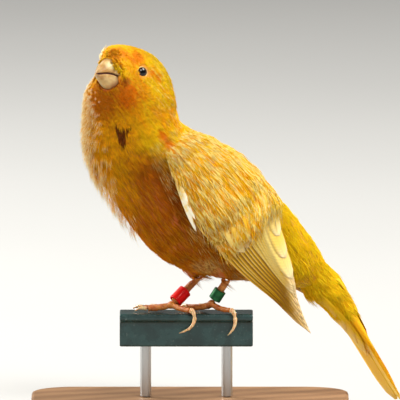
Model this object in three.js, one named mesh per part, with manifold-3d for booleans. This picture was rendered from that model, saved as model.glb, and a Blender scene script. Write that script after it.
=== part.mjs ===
// Canary at life size on a cut length of rim, held by a plain display stand.
// Millimetres, +Z up. The bird faces -Y and its left side is +X.
import * as THREE from 'three';
import { mergeVertices } from 'three/addons/utils/BufferGeometryUtils.js';
import Module from 'manifold-3d';

const wasm = await Module();
wasm.setup();

const DEG = Math.PI / 180;
const point = (x, y, z) => new THREE.Vector3(x, y, z);

// Driving dimensions in millimetres and degrees
const GAP = 0.3; // between pieces that touch
const PERCH_TURN = -20; // of the rim from the line of the body, about Z
const RIM = { length: 36, middle: -1, outer: 4.5, inner: -7.9, thick: 2, wall: 1.5, drop: 9, inset: 1.4 };
const STAND = { height: 28, long: 86, wide: 58, corner: 12, thick: 4.5, bevel: 0.8 };
const RODS = { radius: 1.5, spread: 22, back: -4.4 };
const HEAD = { x: 4.3, y: -20.9, z: 66.5, yaw: 38, pitch: 20 }; // midpoint between the eyes
const EYE = { radius: 1.95, side: 5.5, turn: 30 }; // turned forward from the side
const LID = { radius: 1.55, tube: 0.36, out: 1.7 }; // a ring this far out from the eye's middle
// The bill's tip, the top of its base, the corners of the mouth and the chin, from the
// middle of the head, and half the width across the corners
const BILL = {
  tip: { forward: 12.75, up: -4.3 },
  culmen: { forward: 8.6, up: 1.1 },
  gape: { forward: 3.9, up: -3.3 },
  chin: { forward: 5, up: -6.4 },
  side: 3.6,
};
const MOUTH = { rise: 1.0, open: 0.5 }; // how far its line bows up, and the gap along it
const NOSTRIL = { along: 0.13, across: 0.5, radius: 0.5 };
const THIGH = { ankleRadius: 1.7, swell: 4.4 }; // feathers and all
const TARSUS_RADIUS = 0.95;
const TOE_RADIUS = 0.88;
// A front claw's middle line beyond its toe, ahead and up
const FRONT_CLAW = [[0, 0], [1.2, 0.15], [2.3, -0.1], [3.3, -0.6]];
const TAIL = { length: 41, slope: 55, wide: 6.6, arch: 1.1, root: 20 };

// Stations of the body from the root of the tail to the crown. Each ring's normal leans
// forward from upright by lean and is turned by yaw; deep is half its size from belly
// to back, wide half its size across, and taper narrows its front.
const headPoint = frameOfHead();
const BODY = [
  { x: 0, y: 36.8, z: 7.4, lean: 37, yaw: 0, deep: 4.7, wide: 5.4, taper: 0 },
  { x: 0, y: 28.2, z: 13.1, lean: 43, yaw: 0, deep: 9.5, wide: 9, taper: 0 },
  { x: 0, y: 15.2, z: 20.3, lean: 49, yaw: 0, deep: 15, wide: 13.8, taper: 0 },
  { x: 0, y: 1.3, z: 29.1, lean: 50, yaw: 0, deep: 17.5, wide: 16.8, taper: 0 },
  { x: 0, y: -12.9, z: 42.7, lean: 43, yaw: 0, deep: 14.4, wide: 15.2, taper: 0.04 },
  { x: 0, y: -16.5, z: 49.9, lean: 25, yaw: 0, deep: 13.7, wide: 14, taper: 0.05 },
  { x: 0.4, y: -17.3, z: 55.9, lean: 6, yaw: 14, deep: 12.6, wide: 12.8, taper: 0.08 },
  { x: 1.6, y: -18.2, z: 60, lean: -10, yaw: 33, deep: 12.6, wide: 12, taper: 0.2 },
  headStation(-5, -2, 13, 10, 0.39),
  headStation(-4.2, 1.5, 11.8, 9.1, 0.38),
  headStation(-3, 4.6, 9.9, 7.9, 0.22),
  headStation(-2.7, 6.7, 6.4, 5.4, 0.1),
  headStation(-2.6, 7.6, 0.6, 0.6, 0),
];
// Places along the stations where the body is parted
const PARTS = { rump: 1.35, neck: 4.55, head: 6.75 };
const BODY_SIDES = 28;

// The folded wing, in planes across its length. Seen in each plane it is an arc about
// a centre on the middle of the body, from its lower edge to its upper edge.
const WING_ORIGIN = point(0, -11.9, 47.8);
const WING_SLOPE = { left: 51.2, right: 42 }; // of its length below level
const WING_ROLL = { left: 0, right: 11 }; // away from the middle of the back
const WING = [
  { a: 0, centre: -4.4, low: 80, up: 38, rLow: 15.4, rMid: 15, rUp: 14.2, deep: 4 },
  { a: 8, centre: -3.6, low: 94, up: 22, rLow: 17.6, rMid: 17.4, rUp: 16.2, deep: 4.5 },
  { a: 21, centre: -2, low: 108, up: 13, rLow: 19.2, rMid: 18.8, rUp: 18.3, deep: 4.5 },
  { a: 28, centre: -0.2, low: 115, up: 22, rLow: 18.8, rMid: 18.5, rUp: 18, deep: 4.5 },
  { a: 34, centre: 1.2, low: 120, up: 44, rLow: 18.3, rMid: 17.9, rUp: 17.9, deep: 4.2 },
  { a: 46, centre: 1.6, low: 121, up: 53, rLow: 14.3, rMid: 14, rUp: 14, deep: 3 },
  { a: 57, centre: 1, low: 115, up: 55, rLow: 9.7, rMid: 9.5, rUp: 9.2, deep: 2.2 },
  { a: 70.5, centre: 0, low: 110, up: 72, rLow: 6, rMid: 6, rUp: 6, deep: 1.2 },
];
// The right wing lies flatter: how much its low, middle and upper radii change
const WING_FIT = { left: [0, 0, 0], right: [1.4, -1, -2.2] };
const VANE = 0.5; // thickness of a feather
// Rows of wing feathers from the lower edge up: place along the wing and across it (0 at
// the lower edge, 1 at the upper) of the first and last feather's root and tip, the height
// of their tops above the bed, how deep the roots go in
const WING_ROWS = [
  { count: 7, wide: 5, tilt: 0.13, high: 0, sink: 0.7,
    root: [[26, 0.02], [26, 0.3]], tip: [[68, 0.05], [60.5, 0.5]], longest: 2, pointed: true },
  { count: 4, wide: 5.4, tilt: 0.12, high: 0.05, sink: 0.7,
    root: [[27, 0.37], [27, 0.58]], tip: [[58.5, 0.5], [55.5, 0.56]] },
  { count: 3, wide: 6, tilt: 0.1, high: 0.15, sink: 0.2,
    root: [[28, 0.64], [25, 0.8]], tip: [[54, 0.57], [42, 0.74]] },
  { count: 2, wide: 3.8, tilt: 0.1, high: 0.35, sink: 1.1,
    root: [[20, 0], [20.5, 0.09]], tip: [[33.5, 0], [35.5, 0.12]] },
  { count: 6, wide: 4.8, tilt: 0.1, high: 0.35, sink: 1.1,
    root: [[23, 0.17], [21, 0.76]], tip: [[37, 0.2], [34, 0.78]] },
  { count: 5, wide: 5.4, tilt: 0.09, high: 0.45, sink: 1.2,
    root: [[14, 0.12], [13, 0.72]], tip: [[27, 0.14], [25, 0.74]] },
  { count: 1, wide: 3.8, tilt: 0.08, high: 0.5, sink: 1.1,
    root: [[9, 0], [9, 0]], tip: [[23, -0.02], [23, -0.02]] },
];
// How deep the bed of the feathers lies under the outer surface at the lower and the upper
// edge, where it starts, how much deeper the core lies and how thin it may get
const BED = { low: 1.5, up: 0.5, from: 20, to: 31, core: 0.46, least: 0.9 };
const WING_CORE = { steps: 12, across: 7, start: -1.5, reach: 50, cap: 3 };
// Outlines of feathers: share of the length, share of the width
const BROAD = [[0, 0.6], [0.35, 1], [0.72, 0.94], [0.92, 0.6], [1, 0.1]];
const POINTED = [[0, 0.7], [0.35, 0.95], [0.7, 0.8], [0.92, 0.5], [1, 0.1]];

// Tail feathers from the outermost pair to the middle pair
const RECTRIX = { pairs: 6, wide: 7.8, step: 0.4, fork: 3, root: 5, roof: 0.09, apart: 0.8 };
const TAIL_COVERTS = {
  count: 5, wide: 5.8, start: 3, reach: 20, under: 24, aside: 2.8, shorter: 7, sink: 1.3,
};

// Feet on the rim: the sole's middle, the heading of the middle toe and the leg above
const FEET = {
  right: {
    sole: point(-1.2, -4.9, 2.1), ankle: point(-2.6, 3.1, 8.9), knee: point(-7, 0, 19),
    heading: -46, hind: 120,
    hindClaw: [[0, 0, 0], [0.8, 0.7, -0.4], [1.3, 1, -2.5], [1.3, -0.2, -4.7], [1.3, -3.3, -6.1]],
  },
  left: {
    sole: point(2.4, 5.3, 2.4), ankle: point(4.6, 9.3, 9.4), knee: point(8, 4, 20),
    heading: -60, hind: 120,
    hindClaw: [[0, 0, 0], [0.8, 0.7, -0.4], [1.3, 1.2, -2.6], [1.3, 0.7, -4.8], [1.3, -0.9, -6.7]],
  },
};

function frameOfHead() {
  const yaw = HEAD.yaw * DEG;
  const pitch = HEAD.pitch * DEG;
  const level = point(Math.sin(yaw), -Math.cos(yaw), 0);
  const forward = level.clone().multiplyScalar(Math.cos(pitch)).add(point(0, 0, Math.sin(pitch)));
  const up = level.clone().multiplyScalar(-Math.sin(pitch)).add(point(0, 0, Math.cos(pitch)));
  const left = point(Math.cos(yaw), Math.sin(yaw), 0);
  return (f, l, u) => point(HEAD.x, HEAD.y, HEAD.z)
    .addScaledVector(forward, f).addScaledVector(left, l).addScaledVector(up, u);
}

function headStation(forward, up, deep, wide, taper) {
  const at = headPoint(forward, 0, up);
  return { x: at.x, y: at.y, z: at.z, lean: -HEAD.pitch, yaw: HEAD.yaw, deep, wide, taper };
}

// A value on a smooth curve through the same field of each station
function between(stations, at, field) {
  const last = stations.length - 1;
  const i = Math.min(Math.max(Math.floor(at), 0), last - 1);
  const t = at - i;
  const p = [-1, 0, 1, 2].map((k) => stations[Math.min(Math.max(i + k, 0), last)][field]);
  const slopeIn = (p[2] - p[0]) / 2;
  const slopeOut = (p[3] - p[1]) / 2;
  const rise = p[2] - p[1];
  return p[1] + t * (slopeIn + t * (3 * rise - 2 * slopeIn - slopeOut + t * (slopeIn + slopeOut - 2 * rise)));
}

// The place along the stations where a field reaches a value
function placeOf(stations, field, value) {
  const i = stations.findIndex((s) => s[field] > value) - 1;
  if (i < 0) return value < stations[0][field] ? 0 : stations.length - 1;
  return i + (value - stations[i][field]) / (stations[i + 1][field] - stations[i][field]);
}

function geometry(points, faces) {
  let volume = 0;
  for (const [a, b, c] of faces) {
    volume += points[a].dot(new THREE.Vector3().crossVectors(points[b], points[c]));
  }
  const order = volume < 0 ? ([a, b, c]) => [a, c, b] : (f) => f;
  const made = new THREE.BufferGeometry();
  made.setAttribute('position', new THREE.Float32BufferAttribute(points.flatMap((p) => p.toArray()), 3));
  made.setIndex(faces.map(order).flat());
  return made;
}

// A closed form through rings of equally many points, with a fan over each end
function loft(rings) {
  const sides = rings[0].length;
  const points = rings.flat();
  const faces = [];
  for (let i = 0; i + 1 < rings.length; i++) {
    for (let j = 0; j < sides; j++) {
      const a = i * sides + j;
      const b = i * sides + (j + 1) % sides;
      faces.push([a, b, b + sides], [a, b + sides, a + sides]);
    }
  }
  for (const [ring, start] of [[rings[0], 0], [rings.at(-1), (rings.length - 1) * sides]]) {
    const middle = points.push(mean(ring)) - 1;
    for (let j = 0; j < sides; j++) {
      const edge = [start + j, start + (j + 1) % sides];
      faces.push(start ? [...edge, middle] : [edge[1], edge[0], middle]);
    }
  }
  return geometry(points, faces);
}

function mean(ring) {
  return ring.reduce((sum, p) => sum.add(p), point(0, 0, 0)).divideScalar(ring.length);
}

// A thin sheet between two grids of points, split into triangles alike on both faces
function sheet(top, bottom) {
  const rows = top.length;
  const cols = top[0].length;
  const under = rows * cols;
  const faces = [];
  const at = (i, j) => i * cols + j;
  for (let i = 0; i + 1 < rows; i++) {
    for (let j = 0; j + 1 < cols; j++) {
      const corners = [at(i, j), at(i, j + 1), at(i + 1, j + 1), at(i + 1, j)];
      for (const [a, b, c] of [[0, 1, 2], [0, 2, 3]].map((f) => f.map((k) => corners[k]))) {
        faces.push([a, b, c], [a + under, c + under, b + under]);
      }
    }
  }
  const rim = [];
  for (let j = 0; j + 1 < cols; j++) rim.push(at(0, j));
  for (let i = 0; i + 1 < rows; i++) rim.push(at(i, cols - 1));
  for (let j = cols - 1; j > 0; j--) rim.push(at(rows - 1, j));
  for (let i = rows - 1; i > 0; i--) rim.push(at(i, 0));
  rim.forEach((p, k) => {
    const q = rim[(k + 1) % rim.length];
    faces.push([q, p, p + under], [q, p + under, q + under]);
  });
  return geometry([...top.flat(), ...bottom.flat()], faces);
}

// A feather on a bed: place(along, across, height) gives its points, along and across in
// shares of its length and width. Its outline says how wide it is along its length.
function vane(place, outline, thick) {
  const grid = (drop) => outline.map(([t, w]) => [0, 1].map((c) => {
    const across = w * c + (1 - w) * 0.3;
    return place(t, across, -drop * (1 - 0.45 * t ** 4));
  }));
  return sheet(grid(0), grid(thick));
}

// A tapered round form along a curve
function tube(curve, steps, sides, radiusAt, flatten = 1) {
  const rings = [];
  for (let i = 0; i <= steps; i++) {
    const at = curve.getPoint(i / steps);
    const along = curve.getTangent(i / steps);
    const across = new THREE.Vector3().crossVectors(along, point(0, 0, 1));
    if (across.length() < 0.2) across.set(along.z, 0, -along.x);
    across.normalize();
    const over = new THREE.Vector3().crossVectors(across, along);
    const r = radiusAt(i / steps);
    rings.push(Array.from({ length: sides }, (_, j) => {
      const turn = (j / sides) * 2 * Math.PI;
      return at.clone().addScaledVector(across, r * flatten * Math.cos(turn))
        .addScaledVector(over, r * Math.sin(turn));
    }));
  }
  return loft(rings);
}

const curveThrough = (points) => new THREE.CatmullRomCurve3(points);

function solid(shape) {
  const bare = shape.clone();
  bare.deleteAttribute('normal');
  bare.deleteAttribute('uv');
  const merged = mergeVertices(bare, 1e-4);
  return new wasm.Manifold(new wasm.Mesh({
    numProp: 3,
    vertProperties: Float32Array.from(merged.attributes.position.array),
    triVerts: Uint32Array.from(merged.index.array),
  }));
}

// The largest closed surface of a solid, back as geometry with its slivers welded
function shapeOf(joined) {
  const largest = joined.decompose().reduce((a, b) => (b.volume() > a.volume() ? b : a));
  const mesh = largest.getMesh();
  const made = new THREE.BufferGeometry();
  made.setAttribute('position', new THREE.Float32BufferAttribute(Array.from(mesh.vertProperties), 3));
  made.setIndex(Array.from(mesh.triVerts));
  return welded(made);
}

function welded(shape) {
  const merged = mergeVertices(shape, 2e-3);
  const faces = [];
  for (let i = 0; i < merged.index.count; i += 3) {
    const [a, b, c] = [0, 1, 2].map((k) => merged.index.getX(i + k));
    if (a !== b && b !== c && c !== a) faces.push(a, b, c);
  }
  merged.setIndex(faces);
  return merged;
}

function bodyFrame(s) {
  const yaw = between(BODY, s, 'yaw') * DEG;
  const lean = between(BODY, s, 'lean') * DEG;
  const level = point(Math.sin(yaw), -Math.cos(yaw), 0);
  return {
    at: point(between(BODY, s, 'x'), between(BODY, s, 'y'), between(BODY, s, 'z')),
    along: level.clone().multiplyScalar(Math.sin(lean)).add(point(0, 0, Math.cos(lean))),
    front: level.clone().multiplyScalar(Math.cos(lean)).add(point(0, 0, -Math.sin(lean))),
    side: point(Math.cos(yaw), Math.sin(yaw), 0),
  };
}

function bodyRing(s, grow = 0, shift = 0) {
  const { at, along, front, side } = bodyFrame(s);
  const deep = between(BODY, s, 'deep') + grow;
  const wide = between(BODY, s, 'wide') + grow;
  const taper = between(BODY, s, 'taper');
  const yaw = between(BODY, s, 'yaw') * DEG;
  return Array.from({ length: BODY_SIDES }, (_, j) => {
    const turn = (j / BODY_SIDES) * 2 * Math.PI - yaw;
    return at.clone().addScaledVector(along, shift)
      .addScaledVector(front, deep * Math.cos(turn))
      .addScaledVector(side, wide * Math.sin(turn) * (1 - taper * Math.cos(turn)));
  });
}

// A length of the body between two places, each end set back by half the gap
function bodyLength(from, to, steps, grow = 0) {
  const rings = [];
  for (let i = 0; i <= steps; i++) {
    const shift = i === 0 ? GAP / 2 - grow : i === steps ? grow - GAP / 2 : 0;
    rings.push(bodyRing(from + ((to - from) * i) / steps, grow, shift));
  }
  return loft(rings);
}

const crown = BODY.length - 1;
const wholeBodyGrown = solid(bodyLength(0, crown, 34, GAP));
const clearOfBody = (shape) => shapeOf(solid(shape).subtract(wholeBodyGrown));

function wingPoint(a, v, out, side) {
  const s = placeOf(WING, 'a', a);
  const get = (field) => between(WING, s, field);
  const turn = (get('low') + (get('up') - get('low')) * v + WING_ROLL[side]) * DEG;
  const slope = WING_SLOPE[side] * DEG;
  const flat = Math.sin(Math.PI * THREE.MathUtils.clamp(a / 57, 0, 1));
  const [low, mid, up] = ['rLow', 'rMid', 'rUp'].map((f, k) => get(f) + flat * WING_FIT[side][k]);
  const radius = low * (1 - v) * (1 - 2 * v) + mid * 4 * v * (1 - v) + up * v * (2 * v - 1) + out;
  const across = get('centre') + radius * Math.cos(turn);
  return point(
    radius * Math.sin(turn),
    WING_ORIGIN.y + a * Math.cos(slope) + across * Math.sin(slope),
    WING_ORIGIN.z - a * Math.sin(slope) + across * Math.cos(slope),
  );
}

const wingField = (a, field) => between(WING, placeOf(WING, 'a', a), field);
const wingArc = (a) => (wingField(a, 'low') - wingField(a, 'up')) * DEG * wingField(a, 'rMid');
const mix = (range, t) => range[0] + (range[1] - range[0]) * t;

// How far the bed of the feathers lies under the wing's outer surface
function bedDrop(a, v) {
  return THREE.MathUtils.smoothstep(a, BED.from, BED.to) * mix([BED.low, BED.up], v);
}

function wingVane(side, row, i) {
  const share = row.count > 1 ? i / (row.count - 1) : 0;
  const [rootA, rootV] = [0, 1].map((k) => mix([row.root[0][k], row.root[1][k]], share));
  let [tipA, tipV] = [0, 1].map((k) => mix([row.tip[0][k], row.tip[1][k]], share));
  if (row.longest) {
    tipA = i <= row.longest ? mix([row.tip[0][0], WING.at(-1).a], i / row.longest)
      : mix([WING.at(-1).a, row.tip[1][0]], (i - row.longest) / (row.count - 1 - row.longest));
  }
  return vane((t, across, height) => {
    const a = mix([rootA, tipA], t);
    const middle = mix([rootV, tipV], t) + (0.5 * row.wide) / wingArc(a);
    const v = middle + ((across - 0.5) * row.wide) / wingArc(a);
    const lift = row.high - bedDrop(a, middle) + row.tilt * row.wide * (0.5 - across)
      - row.sink * Math.max(0, 1 - 3 * t);
    return wingPoint(a, v, lift + height, side);
  }, row.pointed ? POINTED : BROAD, VANE);
}

// The body of the wing under its feathers, and the feathers rooted in it
function wing(side) {
  const { steps, across, start, reach, cap } = WING_CORE;
  const rings = [];
  for (let i = 0; i <= steps; i++) {
    const a = start + ((reach - start) * i) / steps;
    const outer = Array.from({ length: across }, (_, j) => {
      const v = j / (across - 1);
      const drop = bedDrop(a, v) + (a > BED.from ? BED.core : 0) + (i === 0 ? cap : 0);
      return wingPoint(a, v, -drop, side);
    });
    const inner = outer.map((_, j) => {
      const v = (across - 1 - j) / (across - 1);
      return wingPoint(a, v, -Math.max(wingField(a, 'deep'), bedDrop(a, v) + BED.least), side);
    });
    rings.push([...outer, ...inner]);
  }
  let made = solid(loft(rings));
  for (const row of WING_ROWS) {
    for (let i = 0; i < row.count; i++) made = made.add(solid(wingVane(side, row, i)));
  }
  return shapeOf(made.subtract(wholeBodyGrown).subtract(tailRoot(1, 1.6)));
}

function mirrored(shape) {
  const other = shape.clone();
  other.scale(-1, 1, 1);
  const index = other.index;
  for (let i = 0; i < index.count; i += 3) {
    const b = index.getX(i + 1);
    index.setX(i + 1, index.getX(i + 2));
    index.setX(i + 2, b);
  }
  return other;
}

function tailPlace(along, side, above) {
  const { at } = bodyFrame(0);
  const bend = Math.sin(Math.PI * THREE.MathUtils.clamp(along / TAIL.length, 0, 1) ** 0.6);
  const over = above + TAIL.arch * bend ** 1.5;
  const slope = TAIL.slope * DEG;
  return at.clone()
    .addScaledVector(point(0, Math.cos(slope), -Math.sin(slope)), along)
    .addScaledVector(point(0, Math.sin(slope), Math.cos(slope)), over)
    .addScaledVector(point(1, 0, 0), side);
}

function rectrix(pair, sign) {
  const middle = pair / (RECTRIX.pairs - 1);
  const length = TAIL.length - (middle > 0.5 ? RECTRIX.fork * (middle - 0.5) * 2 : 0);
  const offset = mix([TAIL.wide - RECTRIX.wide / 2, RECTRIX.apart], middle);
  return vane((t, across, height) => {
    const step = RECTRIX.step * (1 - 0.55 * t);
    const high = (pair - (RECTRIX.pairs - 1) / 2) * step + (sign > 0 ? 0.12 : 0) + VANE / 2;
    const roof = RECTRIX.roof * RECTRIX.wide * (across - 0.5);
    return tailPlace(RECTRIX.root + (length - RECTRIX.root) * t,
      sign * (offset * (1 - 0.25 * t * t) + (0.5 - across) * RECTRIX.wide), high + roof + height);
  }, BROAD.map(([t, w]) => [t, t < 0.5 ? 0.85 + 0.3 * t : w]), VANE);
}

// Half the thickness of the tail's core under its coverts
const tailCore = (along) => 0.9 + 3.7 * Math.max(0, 1 - along / 26) ** 1.1;

function tailCovert(i, over) {
  const share = i / (TAIL_COVERTS.count - 1);
  const { start, aside, shorter, sink, wide } = TAIL_COVERTS;
  const offset = (i % 2 ? 1 : -1) * aside * (1 - share);
  const reach = (over > 0 ? TAIL_COVERTS.reach : TAIL_COVERTS.under) - shorter * (1 - share);
  return vane((t, across, height) => {
    const along = mix([start, reach], t);
    const side = offset * (1 - 0.4 * t) + (across - 0.5) * wide;
    const round = Math.sqrt(1 - Math.min(0.96, (side / (TAIL.wide + 0.4)) ** 2));
    const lift = tailCore(along) * round + 0.35 + 0.2 * share - sink * Math.max(0, 1 - 4 * t);
    return tailPlace(along, side, over * (lift + height));
  }, BROAD, VANE);
}

// The root of the tail, as wide as the end of the body
function tailRoot(aside, over) {
  const rings = [bodyRing(0, aside, -GAP / 2)];
  const steps = 5;
  for (let i = 1; i <= steps; i++) {
    const along = (TAIL.root * i) / steps;
    rings.push(Array.from({ length: BODY_SIDES }, (_, j) => {
      const turn = (j / BODY_SIDES) * 2 * Math.PI;
      const half = tailCore(along) + over;
      return tailPlace(along, (TAIL.wide - 0.3 + aside) * Math.sin(turn), -half * Math.cos(turn));
    }));
  }
  return solid(loft(rings));
}

function tail() {
  let made = tailRoot(0, 0);
  for (let pair = 0; pair < RECTRIX.pairs; pair++) {
    for (const sign of [1, -1]) made = made.add(solid(rectrix(pair, sign)));
  }
  for (let i = 0; i < TAIL_COVERTS.count; i++) {
    made = made.add(solid(tailCovert(i, 1))).add(solid(tailCovert(i, -1)));
  }
  return shapeOf(made.subtract(wholeBodyGrown));
}

const eyeCentre = (sign) => headPoint(0, sign * EYE.side, 0);

function ball(radius, at, sides = 16) {
  const shape = new THREE.SphereGeometry(radius, sides, sides / 2);
  shape.rotateX(Math.PI / 2);
  return shape.translate(...at.toArray());
}

// The bill's outline at a place from the mouth's corners (0) to the tip (1)
function billPoint(t, across, part, grow) {
  const { tip, culmen, gape, chin, side } = BILL;
  const bowed = (from, to, bend = 0) => from + (to - from) * t + bend * 4 * t * (1 - t);
  const half = (side + grow) * Math.sqrt(Math.max(1 - t, 0.004)) * (1 - 0.25 * t);
  const mouthForward = bowed(gape.forward, tip.forward);
  const mouthUp = bowed(gape.up, tip.up, MOUTH.rise);
  if (part === 'mouth') return [mouthForward, half * across, mouthUp];
  const [edge, bend, sign] = part === 'upper' ? [culmen, 0.55, 1] : [chin, -0.25, -1];
  const edgeUp = bowed(edge.up, tip.up, bend) + sign * grow;
  const edgeForward = bowed(edge.forward, tip.forward);
  const round = Math.sqrt(Math.max(1 - across * across, 0));
  return [
    mouthForward + (edgeForward - mouthForward) * round,
    half * across,
    mouthUp + (edgeUp - mouthUp) * round,
  ];
}

// Half of the bill, from inside the face to its tip
function billHalf(part, reach, steps, grow, backset) {
  const sign = part === 'upper' ? 1 : -1;
  const across = [-1, -0.92, -0.7, -0.35, 0, 0.35, 0.7, 0.92, 1];
  const rings = [];
  for (let i = -1; i <= steps; i++) {
    const t = (reach * Math.max(i, 0)) / steps;
    const arch = across.map((c) => billPoint(t, c, part, grow));
    const flat = across.slice(1, -1).reverse().map((c) => billPoint(t, c, 'mouth', grow));
    const ring = [...arch, ...flat].map(([f, l, u]) => {
      const back = i < 0 ? backset : 0;
      return headPoint(f - back, l, u + sign * (MOUTH.open / 2 - grow));
    });
    rings.push(ring);
  }
  return loft(rings);
}

function headShape() {
  let made = solid(bodyLength(PARTS.head, crown, 12));
  for (const sign of [1, -1]) {
    const centre = eyeCentre(sign);
    const turn = EYE.turn * DEG;
    const seat = headPoint(LID.out * Math.sin(turn), sign * (EYE.side + LID.out * Math.cos(turn)), 0);
    const ring = new THREE.TorusGeometry(LID.radius, LID.tube, 6, 18);
    ring.applyQuaternion(new THREE.Quaternion()
      .setFromUnitVectors(point(0, 0, 1), seat.clone().sub(centre).normalize()));
    ring.translate(seat.x, seat.y, seat.z);
    made = made.add(solid(ring)).subtract(solid(ball(EYE.radius + GAP, centre)));
  }
  for (const part of ['upper', 'lower']) {
    made = made.subtract(solid(billHalf(part, 0.98, 7, GAP, 2.2)));
  }
  return shapeOf(made);
}

// The upper bill with its two nostrils, small pits near its base
function billUpper() {
  let made = solid(billHalf('upper', 0.985, 8, 0, 1.6));
  for (const sign of [1, -1]) {
    const [f, l, u] = billPoint(NOSTRIL.along, sign * NOSTRIL.across, 'upper', 0);
    const pit = new THREE.SphereGeometry(NOSTRIL.radius, 8, 5);
    pit.scale(1, 1, 0.8);
    const at = headPoint(f, l, u);
    pit.translate(at.x, at.y, at.z);
    made = made.subtract(solid(pit));
  }
  return shapeOf(made);
}

const billLower = () => billHalf('lower', 0.93, 7, 0, 1.6);

function thighForm({ ankle, knee }, grow) {
  const curve = curveThrough([ankle.clone(), ankle.clone().lerp(knee, 0.5), knee]);
  const { ankleRadius, swell } = THIGH;
  return tube(curve, 7, 14, (t) => ankleRadius + grow + swell * Math.sin((t * 0.8 + 0.03) * Math.PI / 2));
}

const thigh = (leg) => clearOfBody(thighForm(leg, 0));

// The bare shank, cut clear of the feathers that it grows out of
function tarsus(leg) {
  const along = leg.ankle.clone().sub(leg.sole).normalize();
  const start = leg.sole.clone().addScaledVector(along, 0.9 + GAP);
  const end = leg.ankle.clone().addScaledVector(along, 1.5);
  const shank = tube(new THREE.LineCurve3(start, end), 6, 12, (t) => TARSUS_RADIUS * (1.15 - 0.15 * t));
  return shapeOf(solid(shank).subtract(wholeBodyGrown).subtract(solid(thighForm(leg, GAP))));
}

// Angles of the four toes from the middle toe and their lengths without the claw
const TOES = {
  middle: { turn: 0, length: 8.1 },
  inner: { turn: 27, length: 6.3 },
  outer: { turn: -25, length: 6.6 },
  hind: { turn: 0, length: 6.5 },
};

function toeHeading(foot, side, name) {
  const inward = side === 'left' ? -1 : 1;
  const turn = name === 'hind' ? foot.hind : foot.heading + inward * TOES[name].turn;
  return point(Math.sin(turn * DEG), -Math.cos(turn * DEG), 0);
}

function toeCurve(foot, side, name) {
  const way = toeHeading(foot, side, name);
  const { length } = TOES[name];
  const level = TOE_RADIUS + GAP;
  const start = foot.sole.clone();
  const near = start.clone().addScaledVector(way, length * 0.34).setZ(level + 0.35);
  const far = start.clone().addScaledVector(way, length * 0.7).setZ(level);
  const end = start.clone().addScaledVector(way, length).setZ(level - 0.05);
  return curveThrough([start, near, far, end]);
}

const toeRadius = (t) => TOE_RADIUS * (1 - 0.2 * t + 0.08 * Math.cos(t * 6 * Math.PI));

function foot(foot, side) {
  let made = solid(ball(1.15, foot.sole, 12));
  for (const name of Object.keys(TOES)) {
    made = made.add(solid(tube(toeCurve(foot, side, name), 8, 8, toeRadius)));
  }
  return shapeOf(made);
}

// The hind claws hook over the rim's outer edge and curl along it; the others lie on top
function claw(foot, side, name) {
  const hind = name === 'hind';
  const way = toeHeading(foot, side, name);
  const start = toeCurve(foot, side, name).getPoint(1).addScaledVector(way, GAP + 0.05);
  const out = point(Math.cos(PERCH_TURN * DEG), Math.sin(PERCH_TURN * DEG), 0);
  const along = point(-out.y, out.x, 0);
  const beyond = (up, ...steps) => steps.reduce(
    (at, [direction, step]) => at.addScaledVector(direction, step), start.clone()).add(point(0, 0, up));
  const middle = hind
    ? foot.hindClaw.map(([o, r, u]) => beyond(u, [out, o], [along, r]))
    : FRONT_CLAW.map(([f, u]) => beyond(u, [way, f]));
  const root = hind ? 0.74 : 0.55;
  return tube(curveThrough(middle), hind ? 9 : 5, 7, (t) => root * (1 - t) ** 0.7 + 0.12, 0.8);
}

function ring({ sole, ankle }, from, length, outer, wall) {
  const along = ankle.clone().sub(sole).normalize();
  const profile = [
    [outer - wall, 0], [outer, 0], [outer, length], [outer - wall, length], [outer - wall, 0],
  ].map(([r, h]) => new THREE.Vector2(r, h));
  const shape = new THREE.LatheGeometry(profile, 24);
  shape.rotateX(Math.PI / 2);
  const turn = new THREE.Quaternion().setFromUnitVectors(point(0, 0, 1), along);
  shape.applyQuaternion(turn);
  const at = sole.clone().addScaledVector(along, from);
  return shape.translate(at.x, at.y, at.z);
}

function rim() {
  const { outer, inner, thick, wall, drop, inset, length, middle } = RIM;
  const outline = new THREE.Shape();
  outline.moveTo(inner, -thick);
  outline.lineTo(outer - inset - wall, -thick);
  outline.lineTo(outer - inset - wall, -drop);
  outline.lineTo(outer - inset, -drop);
  outline.lineTo(outer - inset, -thick);
  outline.lineTo(outer - 0.7, -thick);
  outline.quadraticCurveTo(outer, -thick, outer, -thick + 0.6);
  outline.lineTo(outer, -0.7);
  outline.quadraticCurveTo(outer, 0, outer - 0.8, 0);
  outline.lineTo(inner + 0.6, 0);
  outline.quadraticCurveTo(inner, 0, inner, -0.6);
  outline.closePath();
  const shape = new THREE.ExtrudeGeometry(outline, { depth: length, bevelEnabled: false, curveSegments: 4 });
  shape.rotateX(Math.PI / 2);
  return shape.translate(0, middle + length / 2, 0);
}

function roundedPlate() {
  const { long, wide, corner, thick, bevel } = STAND;
  const x = wide / 2 - corner;
  const y = long / 2 - corner;
  const outline = new THREE.Shape();
  const reach = corner - bevel;
  outline.absarc(x, y, reach, 0, 90 * DEG);
  outline.absarc(-x, y, reach, 90 * DEG, 180 * DEG);
  outline.absarc(-x, -y, reach, 180 * DEG, 270 * DEG);
  outline.absarc(x, -y, reach, 270 * DEG, 360 * DEG);
  const shape = new THREE.ExtrudeGeometry(outline, {
    depth: thick - 2 * bevel, bevelSize: bevel, bevelThickness: bevel, bevelSegments: 2, curveSegments: 4,
  });
  return shape.translate(0, 0, bevel);
}

const COLOURS = {
  plumage: ['#f0a818', 0.85, 0],
  wing: ['#f3c445', 0.8, 0],
  horn: ['#e6cdb4', 0.45, 0],
  eye: ['#160d08', 0.08, 0],
  skin: ['#d07a4a', 0.55, 0],
  claw: ['#c99a62', 0.4, 0],
  red: ['#d4221c', 0.4, 0],
  green: ['#1f5a34', 0.35, 0],
  teal: ['#1c4442', 0.25, 0],
  wood: ['#c9ab82', 0.6, 0],
  steel: ['#b9bcbf', 0.3, 1],
};

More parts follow.
